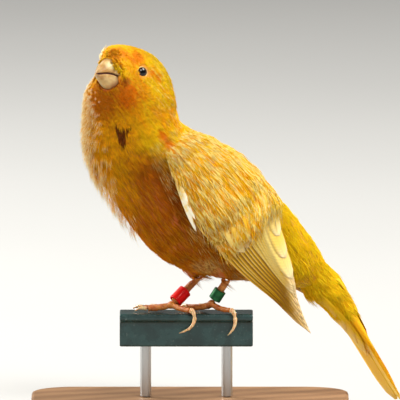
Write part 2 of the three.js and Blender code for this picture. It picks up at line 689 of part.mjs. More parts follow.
function named(name, shape, finish) {
  const [color, roughness, metalness] = COLOURS[finish];
  const piece = new THREE.Mesh(shape, new THREE.MeshStandardMaterial({ color, roughness, metalness }));
  piece.name = name;
  return piece;
}

const bird = new THREE.Group();
bird.position.z = STAND.height;
bird.add(
  named('head', headShape(), 'plumage'),
  named('neck', bodyLength(PARTS.neck, PARTS.head, 6), 'plumage'),
  named('torso', bodyLength(PARTS.rump, PARTS.neck, 12), 'plumage'),
  named('rump', bodyLength(0, PARTS.rump, 6), 'plumage'),
  named('tail', tail(), 'wing'),
  named('bill_upper', billUpper(), 'horn'),
  named('bill_lower', billLower(), 'horn'),
  named('eye_left', ball(EYE.radius, eyeCentre(1)), 'eye'),
  named('eye_right', ball(EYE.radius, eyeCentre(-1)), 'eye'),
);
bird.add(
  named('wing_left', wing('left'), 'wing'),
  named('wing_right', mirrored(wing('right')), 'wing'),
);
for (const [side, leg] of Object.entries(FEET)) {
  bird.add(named(`thigh_${side}`, thigh(leg), 'plumage'));
  bird.add(named(`tarsus_${side}`, tarsus(leg), 'skin'));
  bird.add(named(`foot_${side}`, foot(leg, side), 'skin'));
  for (const name of Object.keys(TOES)) {
    bird.add(named(`claw_${name}_${side}`, claw(leg, side, name), 'claw'));
  }
}
bird.add(named('ring_red', ring(FEET.right, 1.4, 4.3, 1.85, 0.4), 'red'));
bird.add(named('ring_green', ring(FEET.left, 1.4, 3.1, 1.7, 0.4), 'green'));

const stand = new THREE.Group();
stand.rotation.z = PERCH_TURN * DEG;
const perch = named('perch_rim', rim(), 'teal');
perch.position.z = STAND.height;
stand.add(perch, named('stand_base', roundedPlate(), 'wood'));
const rodLength = STAND.height - RIM.thick - STAND.thick - 2 * GAP;
for (const [name, sign] of [['stand_rod_front', -1], ['stand_rod_back', 1]]) {
  const rod = new THREE.CylinderGeometry(RODS.radius, RODS.radius, rodLength, 16);
  rod.rotateX(Math.PI / 2);
  const piece = named(name, rod, 'steel');
  piece.position.set(RODS.back, RIM.middle + (sign * RODS.spread) / 2, STAND.thick + GAP + rodLength / 2);
  stand.add(piece);
}

const model = new THREE.Group();
model.add(bird, stand);
export default model;
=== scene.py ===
import math
import bmesh
import bpy
from bmesh import ops
import numpy as np
from mathutils import Matrix, Vector
from mathutils.bvhtree import BVHTree


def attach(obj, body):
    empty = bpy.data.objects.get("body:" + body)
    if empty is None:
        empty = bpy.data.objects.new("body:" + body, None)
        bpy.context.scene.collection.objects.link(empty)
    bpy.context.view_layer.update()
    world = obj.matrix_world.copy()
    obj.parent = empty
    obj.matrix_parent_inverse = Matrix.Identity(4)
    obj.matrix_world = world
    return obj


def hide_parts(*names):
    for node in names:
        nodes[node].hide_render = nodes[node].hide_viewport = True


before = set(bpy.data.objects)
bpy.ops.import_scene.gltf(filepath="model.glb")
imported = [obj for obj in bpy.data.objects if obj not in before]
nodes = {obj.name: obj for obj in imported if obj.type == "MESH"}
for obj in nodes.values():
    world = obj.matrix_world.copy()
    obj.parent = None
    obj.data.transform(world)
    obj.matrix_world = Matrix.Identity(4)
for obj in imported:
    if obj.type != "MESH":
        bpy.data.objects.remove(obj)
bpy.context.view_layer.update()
mm = 0.001
chance = np.random.default_rng(11)
print("frame loaded")


def shown(name, data):
    thing = bpy.data.objects.new(name, data)
    bpy.context.scene.collection.objects.link(thing)
    return thing


# Camera: a long lens, a little above the bird and a little in front of its left side
shot = dict(azimuth=70, elevation=6, distance=4.0, field=0.1081, base=(0, 0, 0.028), right=0.0027,
            up=0.0304, sensor=36, clip=60)


def aimCamera():
    turn = math.radians(shot["azimuth"])
    rise = math.radians(shot["elevation"])
    toCamera = Vector((math.sin(turn) * math.cos(rise), -math.cos(turn) * math.cos(rise), math.sin(rise)))
    right = Vector((math.cos(turn), math.sin(turn), 0))
    up = toCamera.cross(right)
    look = Vector(shot["base"]) + right * shot["right"] + up * shot["up"]
    data = bpy.data.cameras.new("camera")
    data.sensor_width = shot["sensor"]
    data.lens = shot["sensor"] * shot["distance"] / shot["field"]
    data.clip_end = shot["clip"]
    camera = shown("camera", data)
    camera.location = look + toCamera * shot["distance"]
    camera.rotation_euler = toCamera.to_track_quat("Z", "Y").to_euler()
    bpy.context.scene.camera = camera


aimCamera()
print("camera placed")


# Shader sums are written as plain expressions on sockets
class Wire:
    def __init__(self, look, socket):
        self.look = look
        self.socket = socket

    def sum(self, operation, *others):
        return self.look.add("ShaderNodeMath", {"operation": operation}, self, *others)

    def __add__(self, other):
        return self.sum("ADD", other)

    __radd__ = __add__

    def __sub__(self, other):
        return self.sum("SUBTRACT", other)

    def __rsub__(self, other):
        return self.look.add("ShaderNodeMath", {"operation": "SUBTRACT"}, other, self)

    def __mul__(self, other):
        return self.sum("MULTIPLY", other)

    __rmul__ = __mul__

    def wave(self):
        return self.sum("SINE") * 0.5 + 0.5

    def size(self):
        return self.sum("ABSOLUTE")

    def part(self):
        return self.sum("FRACT")

    def most(self, other):
        return self.sum("MAXIMUM", other)

    def ramp(self, low, high, start=0, end=1):
        return self.look.add("ShaderNodeMapRange", {"interpolation_type": "SMOOTHSTEP"},
                             self, low, high, start, end)


class Look:
    def __init__(self, name, slot, **shine):
        self.slot = slot
        self.material = bpy.data.materials.new(name)
        self.material.use_nodes = True
        self.tree = self.material.node_tree
        self.shader = self.tree.nodes["Principled BSDF"]
        for socket, value in shine.items():
            self.shader.inputs[socket.replace("_", " ")].default_value = value
        self.place = self.add("ShaderNodeTexCoord", {}, out="Object")

    def add(self, kind, settings, *values, out=0, **named):
        node = self.tree.nodes.new(kind)
        for key, value in settings.items():
            setattr(node, key, value)
        for socket, value in [*enumerate(values), *named.items()]:
            self.feed(node.inputs[socket], value)
        return Wire(self, node.outputs[out])

    def feed(self, socket, value):
        if isinstance(value, Wire):
            self.tree.links.new(value.socket, socket)
        elif socket.type == "RGBA":
            socket.default_value = (*value, 1)
        else:
            socket.default_value = value

    def noise(self, scale, detail=3, rough=0.55, where=None):
        return self.add("ShaderNodeTexNoise", {}, where or self.place, out="Fac",
                        Scale=scale, Detail=detail, Roughness=rough)

    def mix(self, first, second, share):
        node = self.tree.nodes.new("ShaderNodeMix")
        node.data_type = "RGBA"
        self.feed(node.inputs[0], share)
        self.feed(node.inputs[6], first)
        self.feed(node.inputs[7], second)
        return Wire(self, node.outputs[2])

    def layers(self, base, *coats):    # colours over each other, each by its share
        for colour, share in coats:
            base = self.mix(base, colour, share)
        return base

    def lined(self, across, along, tilt=-50):    # noise drawn out along the body, sizes in millimetres
        where = self.add("ShaderNodeMapping", {"vector_type": "TEXTURE"}, self.place,
                         Rotation=(math.radians(tilt), 0, 0), Scale=(across * mm, along * mm, across * mm))
        return self.noise(1, 2, where=where)

    def vector(self, operation, *values, out="Value"):
        return self.add("ShaderNodeVectorMath", {"operation": operation}, *values, out=out)

    def dot(self, way, centre=(0, 0, 0)):    # millimetres from a centre along a direction
        offset = self.vector("SUBTRACT", self.place, [c * mm for c in centre], out=0)
        return self.vector("DOT_PRODUCT", offset, [w / mm for w in way])

    def away(self, centre):    # millimetres from a centre
        return self.vector("DISTANCE", self.place, [c * mm for c in centre]) * (1 / mm)

    def value(self, name):
        return self.add("ShaderNodeAttribute", {"attribute_name": name}, out="Fac")

    def spot(self, centre, inner, outer):
        return self.away(centre).ramp(inner, outer, 1, 0)

    def patch(self, centre, inner, outer):    # a spot whose edge runs out along the feathers
        return (self.away(centre) + (self.lined(0.7, 5) - 0.5) * outer * 1.3).ramp(inner, outer, 1, 0)

    def finish(self, colour=None, rough=None, height=None, deep=0.2, strength=0.5):
        for socket, value in (("Base Color", colour), ("Roughness", rough)):
            if value is not None:
                self.feed(self.shader.inputs[socket], value)
        if height is not None:
            bump = self.add("ShaderNodeBump", {}, Strength=strength, Distance=deep * mm, Height=height)
            self.feed(self.shader.inputs["Normal"], bump)
        return self


# Places on the head, in millimetres: forward, to the bird's left and up from between the eyes
head = dict(at=(4.3, -20.9, 94.5), yaw=38, pitch=20)
eyes = dict(side=5.5, radius=1.95, turn=30, ring=1.42, tube=0.13, out=1.38)


def headAxes():
    yaw = math.radians(head["yaw"])
    pitch = math.radians(head["pitch"])
    level = np.array([math.sin(yaw), -math.cos(yaw), 0])
    top = np.array([0, 0, 1.0])
    forward = level * math.cos(pitch) + top * math.sin(pitch)
    up = top * math.cos(pitch) - level * math.sin(pitch)
    return forward, np.array([math.cos(yaw), math.sin(yaw), 0]), up


headForward, headLeft, headUp = headAxes()


def headPoint(forward, left, up):
    return np.array(head["at"]) + headForward * forward + headLeft * left + headUp * up


def eyeAxis(sign):
    turn = math.radians(eyes["turn"])
    return headLeft * sign * math.cos(turn) + headForward * math.sin(turn)


def eyePoint(sign, out=0.0):
    return headPoint(0, sign * eyes["side"], 0) + eyeAxis(sign) * out


bodySlope = math.radians(50)
bodyWay = np.array([0, math.cos(bodySlope), -math.sin(bodySlope)])
bodyBack = np.array([0, math.sin(bodySlope), math.cos(bodySlope)])
bill = headPoint(9, 0, -2)

# Colours of the plumage by place, with painted light and painted shade among them, the same on the skin and
# on the coat
plumage = dict(
    gold=(0.88, 0.38, 0.004), orange=(0.82, 0.15, 0.002), lemon=(0.9, 0.58, 0.006),
    cream=(0.95, 0.76, 0.25), white=(0.95, 0.9, 0.78), ochre=(0.52, 0.15, 0.002),
    brown=(0.36, 0.06, 0.002), notch=(0.08, 0.007, 0.003), onWing=(0.88, 0.48, 0.008))
# Lemon on the side of the head; the shoulder patch is a painted highlight where light falls on it
lemonAndPaintedLightPatches = ((headPoint(-5, 6, 4), 3, 8), ((14.5, -15, 76), 1, 7))    # centre, inner and outer radius
orangePatches = (    # forward, left, up, inner and outer radius, strength
    (7.0, 1.5, 3.5, 1.0, 4.5, 0.6), (2.5, 5.5, 3.2, 0.8, 3.2, 0.8), (-2.4, 7.6, 0.8, 0.3, 2, 0.8),
    (-4.6, 8.2, 0, 0.3, 2.2, 0.8), (3.0, 5.0, -7.0, 1.5, 6.0, 0.85), (6.0, -2.0, -10.0, 2.0, 8.0, 0.6))
# Painted shade under the breast bulge towards the wing, and on the throat
paintedShadePatches = (    # centre, inner and outer radius, strength
    ((14, -17, 67), 2, 9, 0.75), ((15.5, -12, 60), 2, 10, 0.65), (headPoint(5, -1, -11), 2, 8, 0.5))
notch = dict(top=(11.4, -23.5, 79.8), half=2.3, taper=0.34, across=(0.342, 0.94, 0), ragged=3.4)
shoulderSpots = ((14.2, -12.4, 77.8), (14.8, -10.8, 75.3), (15.9, -9.4, 72.9))


def markings(look):
    c = plumage
    lines = look.lined(0.7, 5)
    broad = look.lined(2.2, 9)
    back = look.dot(bodyBack)
    belly = back.ramp(44, 31)
    low = look.dot(bodyWay, (0, -14, 80)).ramp(0, 20) * look.dot((0, 1, 0), (0, -25, 0)).ramp(0, 12, 0.25, 1)
    # More lemon on the back and ochre on the belly, deeper lower down: partly the bird's own tones, partly
    # painted light on the upper side and painted shade on the underside
    base = look.layers(
        c["gold"], (c["lemon"], broad.ramp(0.35, 0.65) * (0.25 + 0.6 * back.ramp(32, 46))),
        (c["ochre"], belly * (0.15 + low * 0.7)), (c["orange"], belly * broad.ramp(0.5, 0.7) * 0.2),
        (c["lemon"], look.dot(bodyWay, (0, 15, 60)).ramp(0, 8) * back.ramp(40, 48) * 0.8))
    # lemon tone on the head, painted light on the shoulder
    for centre, inner, outer in lemonAndPaintedLightPatches:
        base = look.mix(base, c["lemon"], look.patch(centre, inner, outer) * 0.7)
    for forward, left, up, inner, outer, strength in orangePatches:
        base = look.mix(base, c["orange"], look.patch(headPoint(forward, left, up), inner, outer) * strength)
    grains = look.noise(1300, 2).ramp(0.5, 0.62) * look.spot(headPoint(7.5, 1, 2.5), 2.5, 5)
    base = look.mix(base, c["brown"], grains * 0.35)
    # Painted shade where the slit between the bill halves runs into the gape corners
    for side in (1, -1):
        base = look.mix(base, c["brown"], look.spot(headPoint(4.3, side * 4.4, -3.9), 0.4, 1.9) * 0.9)
    for centre in shoulderSpots:
        base = look.mix(base, c["orange"], look.patch(centre, 0.6, 2.6) * 0.85)
    pale = look.spot((6, -2, 80), 10, 24) * lines.ramp(0.52, 0.66) * back.ramp(40, 50)
    # Pale mantle streaks and pale vent down; the belly's brown streaks grow stronger lower down, and that
    # increase is painted shade
    base = look.layers(
        base, (c["cream"], pale * 0.75), (c["cream"], look.patch((8, 2, 40), 1.5, 6) * 0.5),
        (c["brown"], belly * look.lined(0.6, 9).ramp(0.42, 0.6) * (0.25 + low * 0.45)))
    # painted shade on the breast and throat
    for centre, inner, outer, strength in paintedShadePatches:
        base = look.mix(base, c["brown"], look.patch(centre, inner, outer) * strength)
    # The dark wedge in the parting of the breast feathers: painted shade of the parting over the darker down
    # inside it
    down = look.dot((0, 0, -1), notch["top"])
    inside = notch["half"] - down * notch["taper"] - look.dot(notch["across"], notch["top"]).size()
    strands = look.lined(0.35, 4, -85) - 0.5
    inside = inside + strands * notch["ragged"]
    wedge = inside.ramp(-0.1, 0.5) * (down + strands * 7).ramp(-0.6, 1) * look.spot(notch["top"], 5.4, 6.8)
    return look.mix(base, c["notch"], wedge * 0.94)


def coatLook(name, onWing=False):
    look = Look(name, "plumage", Roughness=0.65, Specular_IOR_Level=0.05, Subsurface_Weight=0.2,
                Subsurface_Scale=0.002)
    along, tint, shade = (look.value(key) for key in ("along", "tint", "shade"))
    base = markings(look)
    c = plumage
    if onWing:
        base = look.layers(
            base, (c["onWing"], 0.6), (c["orange"], look.lined(1.1, 10).ramp(0.5, 0.66) * 0.35),
            (c["cream"], look.lined(0.7, 12).ramp(0.47, 0.58) * 0.8))
    # Darker, more orange roots, and brown roots on tufts of low shade: painted shade in the gaps between the
    # tufts
    base = look.layers(
        base, (c["orange"], tint.ramp(0.75, 1) * 0.15), (c["orange"], along.ramp(0.5, 0) * 0.35),
        (c["brown"], along.ramp(0.8, 0.2) * shade.ramp(0.3, 0) * 0.65))
    # Pale tips, whitest on the loose tufts, where the white is painted rim light
    pale = along.ramp(0.6, 1) * (tint * 2.7).part().ramp(0.3, 1) * 0.18
    down = look.mix(c["cream"], c["white"], shade.ramp(0.8, 0.95) * 0.35)
    base = look.mix(base, down, pale.most(along.ramp(0.35, 0.9) * shade.ramp(0.6, 1)))
    return look.finish(look.add("ShaderNodeHueSaturation", {}, Color=base, Value=0.9 + tint * 0.2))


def paint(piece, look):
    piece.data.materials.clear()
    piece.data.materials.append(look.material)


def dress(piece, look, *replaced):
    paint(piece, look)
    piece.data.polygons.foreach_set("use_smooth", [True] * len(piece.data.polygons))
    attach(piece, "root")
    if replaced:
        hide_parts(*replaced)
    return piece


def asPiece(bm, name):
    mesh = bpy.data.meshes.new(name)
    bm.to_mesh(mesh)
    bm.free()
    return shown(name, mesh)


def smoothed(bm, verts, rounds):
    for _ in range(rounds):
        ops.smooth_vert(bm, verts=verts, factor=0.5, use_axis_x=True, use_axis_y=True, use_axis_z=True)


# Copies of solids, swollen until they meet, become one smooth closed form
weld = 1e-6
fillSwell = 0.3    # millimetres more for what fills a hollow


def swollen(source, amount):
    bm = bmesh.new()
    bm.from_mesh(nodes[source].data)
    ops.remove_doubles(bm, verts=bm.verts, dist=weld)
    bm.normal_update()
    for vert in bm.verts:
        vert.co += vert.normal * amount * mm
    mesh = bpy.data.meshes.new("swollen")
    bm.to_mesh(mesh)
    bm.free()
    return mesh


def meltedForm(name, sources, voxel, swell=0.0, rounds=4, fill=()):
    bm = bmesh.new()
    for source in sources:
        bm.from_mesh(swollen(source, swell))
    for source in fill:
        bm.from_mesh(swollen(source, swell + fillSwell))
    piece = asPiece(bm, name)
    melt = piece.modifiers.new("melt", "REMESH")
    melt.mode = "VOXEL"
    melt.voxel_size = voxel * mm
    mesh = bpy.data.meshes.new_from_object(piece.evaluated_get(bpy.context.evaluated_depsgraph_get()))
    piece.modifiers.clear()
    piece.data = mesh
    bm = bmesh.new()
    bm.from_mesh(mesh)
    smoothed(bm, bm.verts, rounds)
    bm.normal_update()
    for vert in bm.verts:
        vert.co -= vert.normal * swell * mm
    bm.to_mesh(mesh)
    bm.free()
    return piece


def column(items, key, width, kind=float):
    values = np.empty(len(items) * width, kind)
    items.foreach_get(key, values)
    return values.reshape(-1, width)


def readMesh(mesh):
    mesh.calc_loop_triangles()
    return column(mesh.vertices, "co", 3) / mm, column(mesh.loop_triangles, "vertices", 3, int)


def treeOf(places, corners):
    return BVHTree.FromPolygons(places.tolist(), corners.tolist())


def unit(v):
    return v / np.maximum(np.linalg.norm(v, axis=-1, keepdims=True), 1e-9)


# Body skin: flesh in one piece, inside the solids by the depth of the coat
skin = dict(voxel=0.55, swell=0.25, smoothing=6, faceDepth=0.25, coatDepth=0.85, near=6, far=24,
            eyeReach=3.3, eyeRounds=35)
flesh = ("head", "neck", "torso", "rump", "thigh_left", "thigh_right")


def bodySkin():
    piece = meltedForm("bodySkin", flesh, skin["voxel"], skin["swell"], skin["smoothing"],
                       fill=("eye_left", "eye_right"))
    bm = bmesh.new()
    bm.from_mesh(piece.data)
    for sign in (1, -1):    # the solids' lids and sockets make way for the finer ones
        middle = Vector(eyePoint(sign, 1.5) * mm)
        around = [v for v in bm.verts if (v.co - middle).length < skin["eyeReach"] * mm]
        smoothed(bm, around, skin["eyeRounds"])
    bm.normal_update()
    start = Vector(bill * mm)
    reach = (skin["near"], skin["far"])
    for vert in bm.verts:
        away = (vert.co - start).length / mm
        vert.co -= vert.normal * np.interp(away, reach, (skin["faceDepth"], skin["coatDepth"])) * mm
    bm.to_mesh(piece.data)
    bm.free()
    look = Look("skinUnderCoatPaintedShade", "plumage", Roughness=0.8)
    # The skin is the markings darkened with brown: painted shade in the gaps between the tufts
    base = look.mix(markings(look), plumage["brown"], 0.55)
    look.finish(base, height=look.noise(2200, 2))
    return dress(piece, look, *flesh)


skinPiece = bodySkin()
print("skin made")


# Wing: distance along it, and across from its lower edge (0) to its upper edge (1)
wingShape = dict(
    origin=(0, -11.9, 75.8), slope=dict(left=51.2, right=42), roll=dict(left=0, right=11),
    fit=dict(left=(0, 0, 0), right=(1.4, -1, -2.2)),
    along=(0, 8, 21, 28, 34, 46, 57, 70.5), centre=(-4.4, -3.6, -2, -0.2, 1.2, 1.6, 1, 0),
    low=(80, 94, 108, 115, 120, 121, 115, 110), up=(38, 22, 13, 22, 44, 53, 55, 72),
    rLow=(15.4, 17.6, 19.2, 18.8, 18.3, 14.3, 9.7, 6), rMid=(15, 17.4, 18.8, 18.5, 17.9, 14, 9.5, 6),
    rUp=(14.2, 16.2, 18.3, 18, 17.9, 14, 9.2, 6))


def between(values, at):
    values = np.asarray(values, float)
    last = len(values) - 1
    i = np.clip(np.floor(at).astype(int), 0, last - 1)
    t = at - i
    p = [values[np.clip(i + k, 0, last)] for k in (-1, 0, 1, 2)]
    slopeIn = (p[2] - p[0]) / 2
    slopeOut = (p[3] - p[1]) / 2
    rise = p[2] - p[1]
    bend = 3 * rise - 2 * slopeIn - slopeOut + t * (slopeIn + slopeOut - 2 * rise)
    return p[1] + t * (slopeIn + t * bend)


def wingField(a, field):
    at = np.interp(a, wingShape["along"], range(len(wingShape["along"])))
    return between(wingShape[field], at)


def wingPoint(a, v, out, side):
    flat = np.sin(np.pi * np.clip(a / 57, 0, 1))
    low, mid, up = (wingField(a, f) + flat * change
                    for f, change in zip(("rLow", "rMid", "rUp"), wingShape["fit"][side]))
    turn = np.radians(wingField(a, "low") * (1 - v) + wingField(a, "up") * v + wingShape["roll"][side])
    slope = math.radians(wingShape["slope"][side])
    radius = low * (1 - v) * (1 - 2 * v) + mid * 4 * v * (1 - v) + up * v * (2 * v - 1) + out
    over = wingField(a, "centre") + radius * np.cos(turn)
    x, y, z = wingShape["origin"]
    aside = radius * np.sin(turn) * (1 if side == "left" else -1)
    return np.stack([x + aside, y + a * math.cos(slope) + over * math.sin(slope),
                     z - a * math.sin(slope) + over * math.cos(slope)], -1)


def wingArc(a):
    return np.radians(wingField(a, "low") - wingField(a, "up")) * wingField(a, "rMid")


# A flat feather from its root (t 0) to its tip (t 1), c 0 to 1 across, as thin closed mesh
def featherBlank(lengths, widths):
    bm = bmesh.new()
    ops.create_grid(bm, x_segments=lengths, y_segments=widths, size=0.5)
    ops.translate(bm, verts=bm.verts, vec=(0.5, 0.5, 0))
    ops.solidify(bm, geom=bm.faces[:], thickness=0.1)
    return arrays(bm)


def arrays(bm):
    ops.recalc_face_normals(bm, faces=bm.faces)
    ops.triangulate(bm, faces=bm.faces)
    bm.verts.index_update()
    places = np.array([v.co[:] for v in bm.verts])
    corners = np.array([[v.index for v in f.verts] for f in bm.faces])
    bm.free()
    return places, corners


blanks = dict(flight=featherBlank(16, 6), covert=featherBlank(9, 6))
outlines = dict(
    broad=((0, 0.12, 0.35, 0.6, 0.8, 0.92, 0.98, 1), (0.35, 0.75, 0.97, 1, 0.9, 0.66, 0.36, 0.04)),
    pointed=((0, 0.1, 0.35, 0.6, 0.8, 0.92, 0.98, 1), (0.5, 0.8, 0.95, 0.85, 0.66, 0.44, 0.22, 0.03)),
    square=((0, 0.1, 0.4, 0.8, 0.93, 0.98, 1), (0.6, 0.8, 0.94, 1, 0.8, 0.45, 0.06)))


class Gather:    # collects many small closed forms into one mesh
    def __init__(self):
        self.places = []
        self.corners = []
        self.roots = []
        self.values = dict(along=[], across=[], tint=[], shade=[])
        self.count = 0

    def take(self, places, corners, roots, **values):
        self.places.append(places)
        self.corners.append(corners + self.count)
        self.roots.append(roots)
        for key, kept in self.values.items():
            kept.append(np.broadcast_to(values.get(key, 0.5), len(places)))
        self.count += len(places)

    def piece(self, name):
        corners = np.concatenate(self.corners)
        mesh = bpy.data.meshes.new(name)
        mesh.vertices.add(self.count)
        mesh.vertices.foreach_set("co", np.concatenate(self.places).ravel() * mm)
        mesh.loops.add(corners.size)
        mesh.loops.foreach_set("vertex_index", corners.ravel())
        mesh.polygons.add(len(corners))
        mesh.polygons.foreach_set("loop_start", np.arange(0, corners.size, 3))
        mesh.update(calc_edges=True)
        for key, kept in self.values.items():
            layer = mesh.attributes.new(key, "FLOAT", "POINT")
            layer.data.foreach_set("value", np.concatenate(kept).astype(np.float32))
        uv = mesh.uv_layers.new(name="OFBake")
        uv.data.foreach_set("uv", np.concatenate(self.roots)[corners.ravel()].astype(np.float32).ravel())
        return shown(name, mesh)


def facing(places, corners):
    centred = places - places.mean(0)
    a, b, c = (centred[corners[:, k]] for k in range(3))
    return corners if np.einsum("ij,ij->", a, np.cross(b, c)) > 0 else corners[:, ::-1]


atlas = dict(cells=9, margin=0.08)    # each flat feather has a cell of the map


def layFeather(gather, blank, outline, place, thick, tint, shade, camber=0.12):
    grid, corners = blank
    t = grid[:, 0]
    width = np.interp(t, *outline)
    c = 0.5 + (grid[:, 1] - 0.5) * width
    edge = 1 - np.abs(grid[:, 1] - 0.5) * 2
    under = grid[:, 2] < grid[:, 2].mean()
    height = camber * (1 - (2 * c - 1) ** 2) - under * thick * (0.35 + 0.65 * edge)
    places = place(t, c, height)
    cell = len(gather.roots)
    corner = np.array([cell % atlas["cells"], cell // atlas["cells"]])
    inside = atlas["margin"] + (1 - 2 * atlas["margin"]) * np.stack([t, c], 1)
    gather.take(places, facing(places, corners), (corner + inside) / atlas["cells"],
                along=t, across=c, tint=tint, shade=shade)


# Wing feathers in tiers. Roots and tips are given for the lowest and the highest of a row:
# place along the wing and across it. High is over the bed, sink is how deep the root goes,
# shade runs from the pale coverts (0) to the darker flight feathers (1).
wingBed = dict(low=1.5, up=0.5, start=20, end=31)
wingRows = dict(
    primaries=dict(count=9, wide=4.6, tilt=0.15, high=0.0, sink=0.6, shape="pointed", shade=1, longest=3,
                   root=((26, 0.02), (26, 0.32)), tip=((67.5, 0.03), (60, 0.52))),
    secondaries=dict(count=6, wide=5.2, tilt=0.12, high=0.08, sink=0.6, shape="broad", shade=0.6,
                     root=((27, 0.36), (27, 0.6)), tip=((58.5, 0.5), (55, 0.58))),
    tertials=dict(count=3, wide=6.4, tilt=0.1, high=0.25, sink=0.3, shape="broad", shade=0.25,
                  root=((26, 0.6), (23, 0.74)), tip=((54, 0.56), (41, 0.68))),
    handCoverts=dict(count=5, wide=3.0, tilt=0.12, high=0.3, sink=0.8, shape="pointed", shade=0.75,
                     root=((19, -0.01), (20, 0.12)), tip=((33, 0.0), (36.5, 0.15))),
    greatCoverts=dict(count=10, wide=4.0, tilt=0.11, high=0.42, sink=0.9, shape="broad", shade=0.3,
                      root=((24, 0.13), (21, 0.8)), tip=((37, 0.17), (33.5, 0.82))),
    thumb=dict(count=2, wide=1.5, tilt=0.08, high=0.7, sink=0.9, shape="pointed", shade=-1,
               root=((9, -0.04), (9, -0.03)), tip=((23, -0.05), (20, -0.02))),
    midCoverts=dict(count=10, wide=3.8, tilt=0.08, high=0.4, sink=0.9, shape="broad", shade=0.1,
                    root=((16, 0.06), (14, 0.8)), tip=((28, 0.1), (25, 0.82))))


def bedDrop(a, v):
    t = np.clip((a - wingBed["start"]) / (wingBed["end"] - wingBed["start"]), 0, 1)
    return t * t * (3 - 2 * t) * (wingBed["low"] * (1 - v) + wingBed["up"] * v)


def layWingRow(gather, side, row):
    wide = row["wide"]
    last = row["count"] - 1
    for i in range(row["count"]):
        share = i / max(last, 1)
        (rootA, rootV), (tipA, tipV) = (
            [first + (end - first) * share for first, end in zip(*row[name])] for name in ("root", "tip"))
        if "longest" in row:
            reach = wingShape["along"][-1] - 0.3
            tipA = np.interp(i, (0, row["longest"], last), (row["tip"][0][0], reach, row["tip"][1][0]))
        tipV = tipV + chance.normal(0, 0.01)
        waver = chance.normal(0, 0.04)

        def place(t, c, height):
            a = rootA + (tipA - rootA) * t
            middle = rootV + (tipV - rootV) * t + 0.5 * wide / wingArc(a)
            v = middle + (c - 0.5) * wide / wingArc(a)
            lift = (row["high"] + waver - bedDrop(a, middle) + row["tilt"] * wide * (0.5 - c)
                    - row["sink"] * np.maximum(0, 1 - 4 * t))
            return wingPoint(a, v, lift + height, side)

        blank = blanks["flight" if tipA - rootA > 17 else "covert"]
        layFeather(gather, blank, outlines[row["shape"]], place, 0.16, chance.random(), row["shade"])


def frontFall(a):    # how the wing's front edge rounds off into the shoulder
    return np.clip(1 - (a + 1) / 5, 0, 1) ** 2


def wingCore(side):
    grid, corners = featherBlank(36, 20)
    a = -1 + grid[:, 0] * 52
    v = grid[:, 1]
    under = grid[:, 2] < grid[:, 2].mean()
    front = frontFall(a) * 3
    out = -0.5 - bedDrop(a, v) - 0.35 * (a > 22) - front - np.clip((a - 44) / 8, 0, 1) * 0.4
    out = out - under * (np.where(a > 30, 0.8, 2.5) - front * 0.4) * np.interp(v, (0.75, 1), (1, 0.2))
    places = wingPoint(a, v, out, side)
    return places, facing(places, corners), np.stack([a / 60, v], 1) * 0.1


def vaneLook(name, **c):
    look = Look(name, "vanes", Roughness=0.5, Specular_IOR_Level=0.15, Subsurface_Weight=0.12,
                Subsurface_Scale=0.001)
    along, across, tint, shade = (look.value(key) for key in ("along", "across", "tint", "shade"))
    shaft = (across - 0.42).size()
    barbs = (shaft * 30 + along * 170).wave()
    ragged = look.noise(700, 3)
    # Darker inner webs: partly the feathers' own tone, partly painted shade where the next feather overlaps
    inner = across.ramp(0.09, 0.2) * across.ramp(1, 0.72) * shade.ramp(0.2, 0.9) * along.ramp(1, 0.7)
    edge = across.ramp(0.1, 0.05).most(across.ramp(0.9, 1) * 0.7)
    down = look.mix((0.9, 0.8, 0.62), (0.9, 0.62, 0.2), (ragged * 2 - along * 1.2).ramp(0.3, 0.9))
    base = look.layers(
        c["pale"], (c["warm"], tint), (c["flight"], shade.ramp(0, 1)), (c["dark"], inner * 0.9),
        (c["edge"], edge * (0.5 + 0.5 * shade)), (c["tip"], (along + ragged * 0.2).ramp(0.85, 1.15) * 0.75),
        (c["dark"], shaft.ramp(0.04, 0.015) * shade.ramp(0, 1) * 0.6),
        (c["dark"], barbs * ragged.ramp(0.3, 0.6) * 0.15), (down, shade.ramp(-0.2, -0.8)))
    return look.finish(base, height=barbs * 0.4 + ragged * 0.6, deep=0.1, strength=0.4)


wingLook = vaneLook(
    "wingVanes", pale=(0.92, 0.68, 0.22), warm=(0.88, 0.5, 0.03), flight=(0.8, 0.44, 0.012),
    dark=(0.2, 0.075, 0.004), edge=(0.92, 0.7, 0.24), tip=(0.9, 0.74, 0.5))
wingCores = {}


def wingFeathers(side):
    gather = Gather()
    places, corners, spots = wingCore(side)
    wingCores[side] = treeOf(places, corners)
    gather.take(places, corners, spots, along=0.2, across=0.3, shade=0.2)
    for row in wingRows.values():
        layWingRow(gather, side, row)
    dress(gather.piece("wingFeathers_" + side), wingLook, "wing_" + side)


for side in ("left", "right"):
    wingFeathers(side)
print("wings made")


# Tail: six pairs of feathers, the middle pair on top, with coverts over and under the root
tailShape = dict(root=(0, 36.8, 35.4), slope=55, length=41, half=6.6, arch=1.1, pairs=6, wide=7.2,
                 step=0.4, fork=3, roof=0.1, start=5, apart=0.9)
tailCoverts = dict(rows=4, count=5, wide=4.4, first=9, step=4.6, long=13, spread=4.6, under=3)


def tailPlace(along, aside, above):
    slope = math.radians(tailShape["slope"])
    bend = np.sin(np.pi * np.clip(along / tailShape["length"], 0, 1) ** 0.6)
    over = above + tailShape["arch"] * np.abs(bend) ** 1.5
    x, y, z = tailShape["root"]
    return np.stack([x + aside + 0 * along, y + math.cos(slope) * along + math.sin(slope) * over,
                     z - math.sin(slope) * along + math.cos(slope) * over], -1)


def tailCore(along):
    return 0.8 + 3.7 * np.maximum(0, 1 - along / 26) ** 1.1


